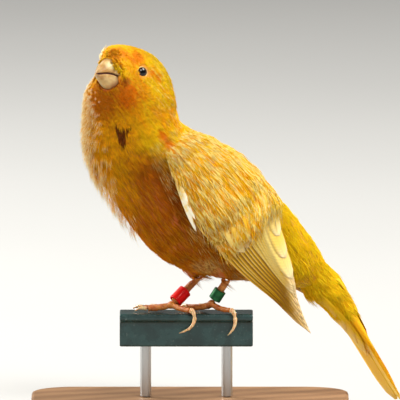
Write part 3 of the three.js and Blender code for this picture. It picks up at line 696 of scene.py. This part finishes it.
def layRectrix(gather, pair, sign):
    s = tailShape
    middle = pair / (s["pairs"] - 1)
    length = s["length"] - max(0, (middle - 0.5) * 2) * s["fork"] + chance.normal(0, 0.15)
    offset = (s["half"] - s["wide"] / 2) * (1 - middle) + s["apart"] * middle

    def place(t, c, height):
        step = s["step"] * (1 - 0.55 * t)
        high = (pair - (s["pairs"] - 1) / 2) * step + (0.1 if sign > 0 else 0) + 0.2
        roof = s["roof"] * s["wide"] * (c - 0.5)
        aside = sign * (offset * (1 - 0.25 * t * t) + (0.5 - c) * s["wide"])
        return tailPlace(s["start"] + (length - s["start"]) * t, aside, high + roof + height)

    layFeather(gather, blanks["flight"], outlines["square"], place, 0.18, chance.random(),
               0.35 + 0.4 * middle)


def layTailCovert(gather, row, i, over):
    cover = tailCoverts
    share = (i + 0.5) / cover["count"] * 2 - 1
    extra = cover["under"] if over < 0 else 0
    reach = (cover["first"] + cover["step"] * row) * (1 - 0.18 * abs(share)) + extra
    start = max(0.5, reach - cover["long"])

    def place(t, c, height):
        along = start + (reach - start) * t
        aside = share * cover["spread"] * (1 - 0.3 * t) + (c - 0.5) * cover["wide"]
        bend = np.sqrt(np.maximum(0.05, 1 - (aside / 7.2) ** 2))
        lift = tailCore(along) * bend + 0.3 - 0.1 * row - 1.2 * np.maximum(0, 1 - 4 * t)
        return tailPlace(along, aside, over * (lift + height))

    layFeather(gather, blanks["covert"], outlines["broad"], place, 0.14, chance.random(), 0.1, camber=0.15)


def rod(segments, radius, cuts):
    bm = bmesh.new()
    ops.create_cone(bm, cap_ends=True, segments=segments, radius1=radius, radius2=radius, depth=1)
    upright = [e for e in bm.edges if abs(e.verts[0].co.z - e.verts[1].co.z) > 0.5]
    ops.subdivide_edges(bm, edges=upright, cuts=cuts, use_grid_fill=True)
    return bm


def tailStump(gather):
    ring, corners = arrays(rod(28, 1, 7))
    along = -3 + (ring[:, 2] + 0.5) * 27
    half = np.interp(along, (-3, 3), (4.9, tailShape["half"] - 0.5))
    places = tailPlace(along, ring[:, 0] * half, ring[:, 1] * (tailCore(np.maximum(along, 0)) - 0.2))
    gather.take(places, facing(places, corners), ring[:, :2] * 0.05 + 0.05, along=0.2, across=0.3)


def tailFeathers():
    gather = Gather()
    tailStump(gather)
    for pair in range(tailShape["pairs"]):
        for sign in (1, -1):
            layRectrix(gather, pair, sign)
    for over in (-1, 1):
        for row in reversed(range(tailCoverts["rows"])):
            for i in range(tailCoverts["count"]):
                layTailCovert(gather, row, i, over)
    look = vaneLook("tailVanes", pale=(0.86, 0.55, 0.01), warm=(0.84, 0.44, 0.005), flight=(0.88, 0.5, 0.01),
                    dark=(0.68, 0.28, 0.003), edge=(0.9, 0.5, 0.02), tip=(0.75, 0.44, 0.06))
    dress(gather.piece("tailFeathers"), look, "tail")


tailFeathers()
print("tail made")


# Coat: tufts of thin barbs over the skin and the front of the wings. Their length goes by the
# distance from the bill, and shorter tufts stand closer. Each tuft joins the part it is nearest to.
coat = dict(perMm=2.1, usual=3.6, crowding=1.6, underWing=3.5, underSkin=2.5, eyeClear=1.75,
            besideWing=3.2, besideBill=1.3, backLine=44,
            away=(4, 8, 13, 20, 32, 60, 95), long=(0.9, 1.3, 2.2, 3.6, 5.2, 6.4, 6.4))
coatParts = dict(
    Face=(13, -25, 92), Crown=(3, -20, 103), Throat=(8, -28, 82), Nape=(-2, -13, 88),
    Breast=(8, -24, 68), FarBreast=(-9, -22, 70), Flank=(13, -8, 58), FarFlank=(-13, -8, 58),
    Belly=(6, 0, 40), FarBelly=(-6, 0, 40), Back=(0, 3, 76), Rump=(4, 25, 50), FarRump=(-4, 25, 50))
# In a tuft: how the barbs fan, scatter, start apart, shorten, droop and flatten, and their spot on the map
tuft = dict(barbs=7, fan=17, swing=0.08, stray=0.06, apart=0.24, shorter=0.7, sink=0.03, droop=0.35,
            flat=0.55, spot=(0.0012, 0.0026))


def barbBlank():
    bm = rod(3, 0.5, 1)
    ops.pointmerge(bm, verts=[v for v in bm.verts if v.co.z > 0.4], merge_co=(0, 0, 0.5))
    places, corners = arrays(bm)
    return places, facing(places, corners)


barb = barbBlank()


def scatter(places, corners, density):
    a, b, c = (places[corners[:, k]] for k in range(3))
    weight = np.linalg.norm(np.cross(b - a, c - a), axis=1) / 2 * density((a + b + c) / 3)
    count = int(weight.sum())
    spots = (np.arange(count) + chance.random(count)) / count * weight.sum()
    pick = np.minimum(np.searchsorted(np.cumsum(weight), spots), len(corners) - 1)
    r, s = chance.random((2, count))
    flip = r + s > 1
    r = np.where(flip, 1 - r, r)
    s = np.where(flip, 1 - s, s)
    return pick, np.stack([1 - r - s, r, s], 1)


# Feathers lead away from the bill, part round the eyes and then follow the body
def layDirection(places):
    away = places - headPoint(9, 0, -2.2)
    share = np.clip((np.linalg.norm(away, axis=1) - 13) / 16, 0, 1)[:, None]
    way = unit(away) * (1 - share) + bodyWay * share
    for sign in (1, -1):
        fromEye = places - eyePoint(sign, 1)
        near = np.linalg.norm(fromEye, axis=1, keepdims=True)
        way = way + unit(fromEye) * np.clip(1.6 - near / 2.6, 0, 1.2)
    return way


def fromBill(places):
    return np.linalg.norm(places - bill, axis=1)


def coatLength(places):
    return np.interp(fromBill(places), coat["away"], coat["long"])


def hidden(places, normals, trees, reach):
    found = np.zeros(len(places), bool)
    for i, (at, normal) in enumerate(zip(places, normals)):
        start = Vector(at + normal * 0.35)
        found[i] = any(tree.ray_cast(start, Vector(normal), reach)[0] is not None for tree in trees)
    return found


def growTufts(at, normals, flow, long, wide, lift, roots, regions, pale):
    blank, corners = barb
    count = len(at)
    t = blank[:, 2] + 0.5
    side = unit(np.cross(normals, flow))
    flow = unit(np.cross(side, normals))
    tint = chance.random(count)
    swing = chance.normal(0, tuft["swing"], count)
    pale = np.broadcast_to(pale, count)
    bend = np.interp(long, (0.8, 4.5), (9, 15)) * (1 + 3 * np.clip(lift - 0.3, 0, 1))
    ends = np.stack([blank[:, 0] * tuft["spot"][0], (t - 0.5) * tuft["spot"][1]], -1)
    for k in range(tuft["barbs"]):
        spread = k / (tuft["barbs"] - 1) - 0.5
        fan = math.radians(tuft["fan"]) * spread + swing + chance.normal(0, tuft["stray"], count)
        shorter = 1 - tuft["shorter"] * abs(spread) * chance.random(count)
        length = long * shorter * chance.uniform(0.85, 1.12, count)
        rise = lift + chance.normal(0, tuft["stray"], count)
        ahead = unit(flow * np.cos(fan)[:, None] + side * np.sin(fan)[:, None])
        start = at + side * (spread * long * tuft["apart"])[:, None]
        start = start - normals * (tuft["sink"] * long)[:, None]
        body = t * length[:, None]
        up = body * np.sin(rise)[:, None] * (1 - tuft["droop"] * t) - body ** 2 / (2 * bend[:, None])
        thin = (wide[:, None] * np.where(t > 0.9, 0, np.where(t > 0.3, 1, 0.7)))[..., None]
        across = unit(np.cross(normals, ahead))[:, None, :]
        made = (start[:, None, :] + ahead[:, None, :] * (body * np.cos(rise)[:, None])[..., None]
                + normals[:, None, :] * (up[..., None] + blank[:, 1][None, :, None] * thin * tuft["flat"])
                + across * blank[:, 0][None, :, None] * thin)
        for gather, chosen in regions:
            faces = (corners[None] + (np.arange(len(chosen)) * len(blank))[:, None, None]).reshape(-1, 3)
            spots = (roots[chosen][:, None] + ends[None]).reshape(-1, 2)
            gather.take(made[chosen].reshape(-1, 3), faces, spots,
                        along=np.tile(t, len(chosen)), across=spread + 0.5,
                        tint=np.repeat(tint[chosen], len(blank)), shade=np.repeat(pale[chosen], len(blank)))


def growPiece(name, look, at, normals, flow, long, wide, lift, roots, pale=0.5):
    gather = Gather()
    growTufts(at, normals, flow, long, np.full(len(at), wide), lift, roots,
              [(gather, np.arange(len(at)))], pale)
    dress(gather.piece(name), look)


def unwrapped(piece):
    bpy.context.view_layer.objects.active = piece
    piece.select_set(True)
    bpy.ops.object.mode_set(mode="EDIT")
    bpy.ops.mesh.select_all(action="SELECT")
    bpy.ops.uv.smart_project(angle_limit=math.radians(66), island_margin=0.002)
    bpy.ops.object.mode_set(mode="OBJECT")
    piece.select_set(False)
    mesh = piece.data
    mesh.calc_loop_triangles()
    return column(mesh.uv_layers.active.data, "uv", 2)[column(mesh.loop_triangles, "loops", 3, int)]


feathers = coatLook("coat")
wingSoft = coatLook("coatOnWing", True)
skinUvs = unwrapped(skinPiece)
skinPlaces, skinCorners = readMesh(skinPiece.data)
skinTree = treeOf(skinPlaces, skinCorners)
billTrees = [treeOf(*readMesh(nodes[name].data)) for name in ("bill_upper", "bill_lower")]


def nearTo(tree, places, reach):
    return np.array([tree.find_nearest(Vector(at), reach)[0] is not None for at in places])


def skinSpots(places):    # where the skin's map is nearest
    return np.array([skinUvs[skinTree.find_nearest(Vector(place))[2]].mean(0) for place in places])


def facingOut(normals, outward):
    return normals * np.sign((normals * outward).sum(1, keepdims=True))


def coatDensity(places):
    return coat["perMm"] * (coat["usual"] / coatLength(places)) ** coat["crowding"]


def bodyCoat():
    pick, share = scatter(skinPlaces, skinCorners, coatDensity)
    tri = skinPlaces[skinCorners[pick]]
    at = np.einsum("nk,nkd->nd", share, tri)
    roots = np.einsum("nk,nkd->nd", share, skinUvs[pick])
    normals = unit(np.cross(tri[:, 1] - tri[:, 0], tri[:, 2] - tri[:, 0]))
    flow = layDirection(at)
    gone = (np.abs((normals * unit(flow)).sum(1)) > 0.9) & (at[:, 2] < 60)
    gone |= hidden(at, normals, list(wingCores.values()), coat["underWing"])
    gone |= hidden(at, normals, [skinTree, *billTrees], coat["underSkin"])
    for sign in (1, -1):
        gone |= np.linalg.norm(at - eyePoint(sign, 1.4), axis=1) < coat["eyeClear"]
    at, normals, roots, flow = (values[~gone] for values in (at, normals, roots, flow))
    count = len(at)
    front = np.clip((normals @ (-0.25, -0.97, 0) - 0.6) / 0.35, 0, 1) ** 2
    front *= np.clip((at[:, 2] - 50) / 10, 0, 1)
    front *= np.clip(fromBill(at) / 6 - 1, 0, 1)
    byWing = np.any([nearTo(core, at, coat["besideWing"]) for core in wingCores.values()], axis=0)
    byBack = byWing & (at @ bodyBack >= coat["backLine"])
    byWing &= ~byBack
    loose = (front > chance.random(count)) & (chance.random(count) < 0.6)
    long = coatLength(at) * chance.uniform(0.85, 1.15, count) * (1 + 0.4 * loose + 0.3 * (byWing | byBack))
    long = long * np.interp(at[:, 2], (36, 41), (0.6, 1))
    lift = np.interp(long, (0.9, 3, 6), (0.36, 0.2, 0.14)) + 0.62 * loose + 0.2 * byWing + 0.12 * byBack
    lift = lift + 0.08 * chance.random(count) - 0.08 * (at[:, 2] < 40)
    # loose tufts on the outline turned to the back light get pale tips: partly their own pale fringe, partly
    # painted rim light
    pale = 0.5 + 0.46 * loose + 0.4 * (byWing & ~loose) * chance.random(count) + 0.3 * (at[:, 2] < 38)
    # tufts by the lower bill get brown roots: painted shade in the crease under it
    pale = pale - 0.5 * nearTo(billTrees[1], at, coat["besideBill"])
    names = list(coatParts)
    centres = np.array([coatParts[n] for n in names], float)
    nearest = np.argmin(np.linalg.norm(at[:, None] - centres[None], axis=2), axis=1)
    gathers = {name: Gather() for name in names}
    regions = [(gathers[name], np.flatnonzero(nearest == i)) for i, name in enumerate(names)]
    wide = np.interp(long, (0.8, 2, 4.5), (0.12, 0.16, 0.22)) * (1 - 0.4 * loose)
    growTufts(at, normals, flow, long, wide, lift, roots, regions, pale)
    for name in names:
        dress(gathers[name].piece("coat" + name), feathers)


bodyCoat()


# Short bristly tufts that lean forward over the root of the upper bill
nose = dict(count=420, reach=112, back=1.6, front=(7.5, 7.6, 4.8), long=(1.1, 1.9), wide=0.2,
            lift=(0.2, 0.6), sway=0.35)


def noseTufts():
    turns = np.radians(chance.uniform(-nose["reach"], nose["reach"], nose["count"]))
    edge = np.interp(np.abs(np.degrees(turns)), (0, 60, nose["reach"]), nose["front"])
    forward = edge - nose["back"] * chance.random(nose["count"])
    at = []
    normals = []
    for f, turn in zip(forward, turns):
        out = headLeft * math.sin(turn) + headUp * math.cos(turn)
        start = Vector(headPoint(f, 0, -2) + out * 9)
        hits = [tree.ray_cast(start, Vector(-out)) for tree in (skinTree, billTrees[0])]
        hit = min((h for h in hits if h[0] is not None), key=lambda h: h[3])
        at.append(hit[0])
        normals.append(hit[1] if np.dot(hit[1], out) > 0 else -hit[1])
    count = len(at)
    flow = headForward + headUp * chance.normal(0, nose["sway"], count)[:, None]
    flow = flow + headLeft * chance.normal(0, nose["sway"], count)[:, None]
    long, lift = (chance.uniform(*nose[key], count) for key in ("long", "lift"))
    # low shade values give these tufts dark roots, painted shade in the gaps between them
    growPiece("coatNose", feathers, np.array(at), np.array(normals), flow, long, nose["wide"], lift,
              skinSpots(at), 0.25 * chance.random(count))


noseTufts()


# Long soft coverts over the front of each wing, rooted among its feathers
wingCoat = dict(start=-1.2, end=34, across=26, perMm=1.9, long=9, wide=0.26, lift=0.07)


def wingTufts(side):
    c = wingCoat
    count = int((c["end"] - c["start"]) * c["across"] * c["perMm"])
    a = chance.uniform(c["start"], c["end"], count)
    v = chance.uniform(0.06, 1.02, count)
    keep = chance.random(count) < np.interp(a, (0, 20, 34), (1, 0.9, 0.15))
    a, v = a[keep], v[keep]

    def surface(a, v):
        front = frontFall(a) * 2.6
        high = np.interp(a, (3, 14, 28, 35), (-0.45, 0.75, 0.9, 0.6))
        return wingPoint(a, v, high - bedDrop(a, v) - front, side)

    at = surface(a, v)
    flow = surface(a + 0.5, v) - at
    normals = unit(np.cross(surface(a, v + 0.02) - at, flow))
    normals = facingOut(normals, wingPoint(a, v, 1, side) - wingPoint(a, v, 0, side))
    long = c["long"] * chance.uniform(0.75, 1.2, len(a)) * np.interp(a, (-1, 6), (0.7, 1))
    lift = c["lift"] + 0.06 * chance.random(len(a))
    growPiece("coatWing_" + side, wingSoft, at, normals, flow, long, c["wide"], lift,
              np.stack([a / 70 + 0.05, v * 0.4 + 0.1], 1), 0.35 + 0.65 * chance.random(len(a)))


for side in ("left", "right"):
    wingTufts(side)


# Tufts over the root of the tail, between the rump and the longest coverts
tailCoat = dict(count=1000, start=-6, end=10, wide=0.24, long=(4.5, 7))


def tailTufts():
    c = tailCoat
    along = chance.uniform(c["start"], c["end"], c["count"])
    turn = chance.uniform(0, math.tau, c["count"])

    def surface(along, turn):
        half = np.interp(along, (-6, -3, 3, 20), (4, 5.2, 6.3, 6.2))
        high = tailCore(np.maximum(along, 0)) + np.interp(along, (-6, 0), (-0.6, 0.6))
        return tailPlace(along, half * np.sin(turn), high * np.cos(turn))

    at = surface(along, turn)
    flow = surface(along + 0.5, turn) - at
    normals = unit(np.cross(flow, surface(along, turn + 0.05) - at))
    normals = facingOut(normals, at - tailPlace(along, 0, 0))
    growPiece("coatTail", feathers, at, normals, flow, chance.uniform(*c["long"], len(at)), c["wide"],
              0.03 + 0.04 * chance.random(len(at)), skinSpots(at))


tailTufts()
print("coat made")


# Eyes: a dark glossy ball with a thin ring of skin
def eyeBall(side, sign):
    bm = bmesh.new()
    ops.create_uvsphere(bm, u_segments=40, v_segments=24, radius=eyes["radius"] * mm)
    ops.translate(bm, verts=bm.verts, vec=Vector(eyePoint(sign) * mm))
    look = Look("eyeDark", "eye", Roughness=0.08, Specular_IOR_Level=0.25, Coat_Weight=0.25,
                Coat_Roughness=0.03)
    iris = look.spot(eyePoint(sign, eyes["radius"]), 0.75, 1.05)
    look.finish(look.mix((0.03, 0.008, 0.002), (0.001, 0.001, 0.001), iris))
    dress(asPiece(bm, "eyeBall_" + side), look, "eye_" + side)


def eyeLids(side, sign):
    bm = bmesh.new()
    ops.create_circle(bm, cap_ends=False, segments=10, radius=eyes["tube"] * mm)
    ops.rotate(bm, verts=bm.verts, matrix=Matrix.Rotation(math.radians(90), 3, "X"))
    ops.translate(bm, verts=bm.verts, vec=(eyes["ring"] * mm, 0, 0))
    ops.spin(bm, geom=bm.verts[:] + bm.edges[:], cent=(0, 0, 0), axis=(0, 0, 1), angle=math.tau,
             steps=44, use_merge=True)
    ops.remove_doubles(bm, verts=bm.verts, dist=weld)
    ops.recalc_face_normals(bm, faces=bm.faces)
    axis = eyeAxis(sign)
    ahead = unit(headForward - axis * np.dot(headForward, axis))
    ops.scale(bm, verts=bm.verts, vec=(1.07, 0.97, 1))    # a little longer than high
    turn = Matrix((ahead, np.cross(axis, ahead), axis)).transposed().to_4x4()
    place = Matrix.Translation(eyePoint(sign, eyes["out"]) * mm)
    ops.transform(bm, verts=bm.verts, matrix=place @ turn)
    look = Look("lidSkin", "plumage", Roughness=0.5)
    rough = look.noise(4200, 2)
    share = (look.dot(headForward - headUp, eyePoint(sign)) + rough * 2).ramp(-1, 2)
    look.finish(look.mix((0.4, 0.16, 0.03), (0.88, 0.7, 0.3), share), height=rough)
    dress(asPiece(bm, "eyeLids_" + side), look)


for side, sign in (("left", 1), ("right", -1)):
    eyeBall(side, sign)
    eyeLids(side, sign)


# Bill: both halves keep the solids' form, with the facets melted, and a dark sheet between them that paints
# the shade in the slit
def hornLook():
    look = Look("horn", "horn", Specular_IOR_Level=0.35, Subsurface_Weight=0.2, Subsurface_Scale=0.0012)
    edge = look.noise(700, 3)
    # Horn colour with a painted highlight on the upper bill's near side, painted shade on the lower bill's
    # base by the gape and where the slit ends at the tip
    base = look.layers(
        (0.4, 0.21, 0.06), ((0.6, 0.42, 0.18), look.noise(330, 3).ramp(0.35, 0.65)),
        ((0.34, 0.13, 0.05), look.spot(headPoint(4.4, 2.5, -5.4), 1, 3.8) * 0.7),
        ((0.8, 0.7, 0.36), look.spot(headPoint(9.2, 1.6, -0.6), 0.4, 2) * 0.6),
        ((0.22, 0.12, 0.07), look.spot(headPoint(12.7, 0, -4.3), 0.5, 2) * 0.4),
        ((0.3, 0.17, 0.1), edge.ramp(0.58, 0.75) * 0.4))
    return look.finish(base, 0.3 + look.noise(900, 2) * 0.25, edge, 0.1, 0.4)


horn = hornLook()
for half in ("upper", "lower"):
    dress(meltedForm("billHorn_" + half, ["bill_" + half], 0.15), horn, "bill_" + half)

mouth = dict(gape=(3.9, -3.3), tip=(12.75, -4.3), side=3.6, rise=1.0, inset=0.45, thick=0.65, reach=0.86)


# A near-black sheet in the gap between the bill halves: painted shade in the slit
def mouthLining():
    grid, corners = featherBlank(14, 8)
    m = mouth
    t = grid[:, 0] * m["reach"]
    half = (m["side"] * (1 - 0.25 * t)) * np.sqrt(np.maximum(1 - t, 0.004)) - m["inset"]
    forward = m["gape"][0] + (m["tip"][0] - m["gape"][0]) * t
    up = m["gape"][1] + (m["tip"][1] - m["gape"][1]) * t + m["rise"] * 4 * t * (1 - t)
    up = up + np.where(grid[:, 2] > grid[:, 2].mean(), 0.5, -0.5) * m["thick"]
    places = np.array([headPoint(f, l, u) for f, l, u in zip(forward, (grid[:, 1] * 2 - 1) * half, up)])
    gather = Gather()
    gather.take(places, facing(places, corners), grid[:, :2] * 0.9 + 0.05)
    look = Look("mouth", "horn", Roughness=0.5)
    look.finish(look.mix((0.05, 0.008, 0.006), (0.12, 0.02, 0.015), look.noise(800)))
    dress(gather.piece("mouthLining"), look)


mouthLining()
print("head made")


# Legs, toes and claws. The scutes run across the toes and the shank, which all lead away
# from the middle of the sole.
soles = dict(right=(-1.2, -4.9, 30.1), left=(2.4, 5.3, 30.4))


def legLook(side):
    look = Look("legSkin_" + side, "leg_skin", Roughness=0.5, Subsurface_Weight=0.15, Subsurface_Scale=0.001)
    run = look.away(soles[side]) + look.noise(500, 2) * 0.25
    groove = (run * 1.25).part().ramp(0.0, 0.16, 1, 0)
    pebbles = look.add("ShaderNodeTexVoronoi", {"feature": "DISTANCE_TO_EDGE"}, look.place,
                       out="Distance", Scale=2200)
    # The palest flecks are painted highlights
    base = look.layers(
        (0.4, 0.09, 0.008), ((0.62, 0.22, 0.03), look.noise(500, 3).ramp(0.35, 0.7)),
        ((0.8, 0.45, 0.16), look.noise(1300, 2).ramp(0.6, 0.75) * 0.35), ((0.22, 0.06, 0.02), groove * 0.75))
    return look.finish(base, 0.4 + groove * 0.3, (1 - groove) * 0.8 + pebbles.ramp(0, 0.1) * 0.2, 0.2, 0.8)


def clawLook():
    look = Look("claw", "claw", Roughness=0.3, Subsurface_Weight=0.3, Subsurface_Scale=0.001, Coat_Weight=0.3)
    lines = look.lined(0.25, 1.6, 90)
    base = look.mix((0.8, 0.56, 0.3), (0.5, 0.24, 0.08), lines.ramp(0.42, 0.66))
    return look.finish(base, height=lines, deep=0.08, strength=0.4)


claws = clawLook()
for side in ("right", "left"):
    leg = legLook(side)
    dress(meltedForm("footSkin_" + side, ["foot_" + side], 0.18), leg, "foot_" + side)
    dress(meltedForm("shankSkin_" + side, ["tarsus_" + side], 0.18, rounds=3), leg, "tarsus_" + side)
    for toe in ("middle", "inner", "outer", "hind"):
        name = f"claw_{toe}_{side}"
        dress(meltedForm("clawHorn_" + toe + "_" + side, [name], 0.11, rounds=3), claws, name)
print("legs made")


def ringBand(colour, bright, dark, metallic):
    node = "ring_" + colour
    look = Look("ring" + colour.capitalize(), node, Specular_IOR_Level=0.12, Metallic=metallic,
                Coat_Weight=0.04)
    scuff = look.noise(900, 4)
    look.finish(look.mix(bright, dark, scuff.ramp(0.45, 0.75) * 0.6), 0.3 + scuff * 0.3, scuff, 0.05, 0.4)
    dress(meltedForm("ringBand_" + colour, [node], 0.13, rounds=3), look, node)


ringBand("red", (0.66, 0.003, 0.002), (0.4, 0.002, 0.002), 0.0)
ringBand("green", (0.02, 0.12, 0.04), (0.01, 0.03, 0.02), 0.6)


# Perch and stand
def rimLook():
    look = Look("rimEnamel", "rim", Specular_IOR_Level=0.35, Coat_Weight=0.2, Coat_Roughness=0.08)
    mottled = look.noise(220, 4)
    specks = look.noise(1600, 3)
    base = look.mix((0.008, 0.03, 0.029), (0.02, 0.062, 0.06), mottled.ramp(0.35, 0.7))
    base = look.mix(base, (0.32, 0.38, 0.36), specks.ramp(0.66, 0.76) * 0.5)
    return look.finish(base, 0.14 + mottled * 0.25, mottled + specks * 0.3, 0.15, 0.25)


def woodLook():
    look = Look("oiledWood", "stand_wood", Roughness=0.5)
    warp = look.noise(30, 4)
    rings = (look.dot((0.9, 0.1, 0.4)) * 0.7 + warp * 9).wave()
    fibre = look.lined(0.5, 14, 0)
    base = look.mix((0.2, 0.1, 0.045), (0.38, 0.21, 0.1), rings * 0.5 + fibre * 0.5)
    return look.finish(base, 0.42 + fibre * 0.2, rings * 0.3 + fibre, 0.08, 0.4)


def steelLook():
    look = Look("brushedSteel", "stand_steel", Roughness=0.3, Metallic=1.0)
    lines = look.lined(0.1, 6, 90)
    base = look.mix((0.42, 0.42, 0.42), (0.6, 0.6, 0.59), lines)
    return look.finish(base, 0.22 + lines * 0.2, lines, 0.03, 0.3)


dress(meltedForm("rimEnamel", ["perch_rim"], 0.3, rounds=3), rimLook(), "perch_rim")
plain = dict(stand_base=woodLook(), stand_rod_front=steelLook(), stand_rod_back=steelLook())
for name, look in plain.items():
    paint(nodes[name], look)
print("perch and stand made")


# Studio: a pale floor and soft lights, strongest from the tail's side and from behind the bird
studio = dict(
    key=dict(at=(0.35, 1.0, 1.1), size=0.6, power=23, colour=(1, 0.98, 0.94)),
    side=dict(at=(1.15, 0.1, 1.25), size=0.6, power=17, colour=(1, 0.98, 0.94)),
    fill=dict(at=(1.3, -0.7, 0.5), size=1.1, power=2, colour=(1, 0.96, 0.9)),
    back=dict(at=(-0.7, -0.75, 0.7), size=0.7, power=24, colour=(1, 0.99, 0.96)))
target = (0, 0, 0.07)
sky = dict(Color=(0.85, 0.82, 0.78, 1), Strength=0.22)


def light(name, at, size, power, colour):
    data = bpy.data.lights.new(name, "AREA")
    data.size = size
    data.energy = power
    data.color = colour
    lamp = shown(name, data)
    lamp.location = at
    lamp.rotation_euler = (Vector(at) - Vector(target)).to_track_quat("Z", "Y").to_euler()


def stageFloor():
    bm = bmesh.new()
    ops.create_grid(bm, x_segments=2, y_segments=2, size=12)
    floor = asPiece(bm, "floor")
    look = Look("paleFloor", "stand_wood", Roughness=0.7)
    look.finish(look.mix((0.5, 0.5, 0.49), (0.54, 0.54, 0.53), look.noise(3, 2)))
    paint(floor, look)


for name, lamp in studio.items():
    light(name, **lamp)
stageFloor()
world = bpy.data.worlds.new("studio")
bpy.context.scene.world = world
world.use_nodes = True
for name, value in sky.items():
    world.node_tree.nodes["Background"].inputs[name].default_value = value
bpy.context.scene.view_settings.view_transform = "Standard"
print("studio lit")
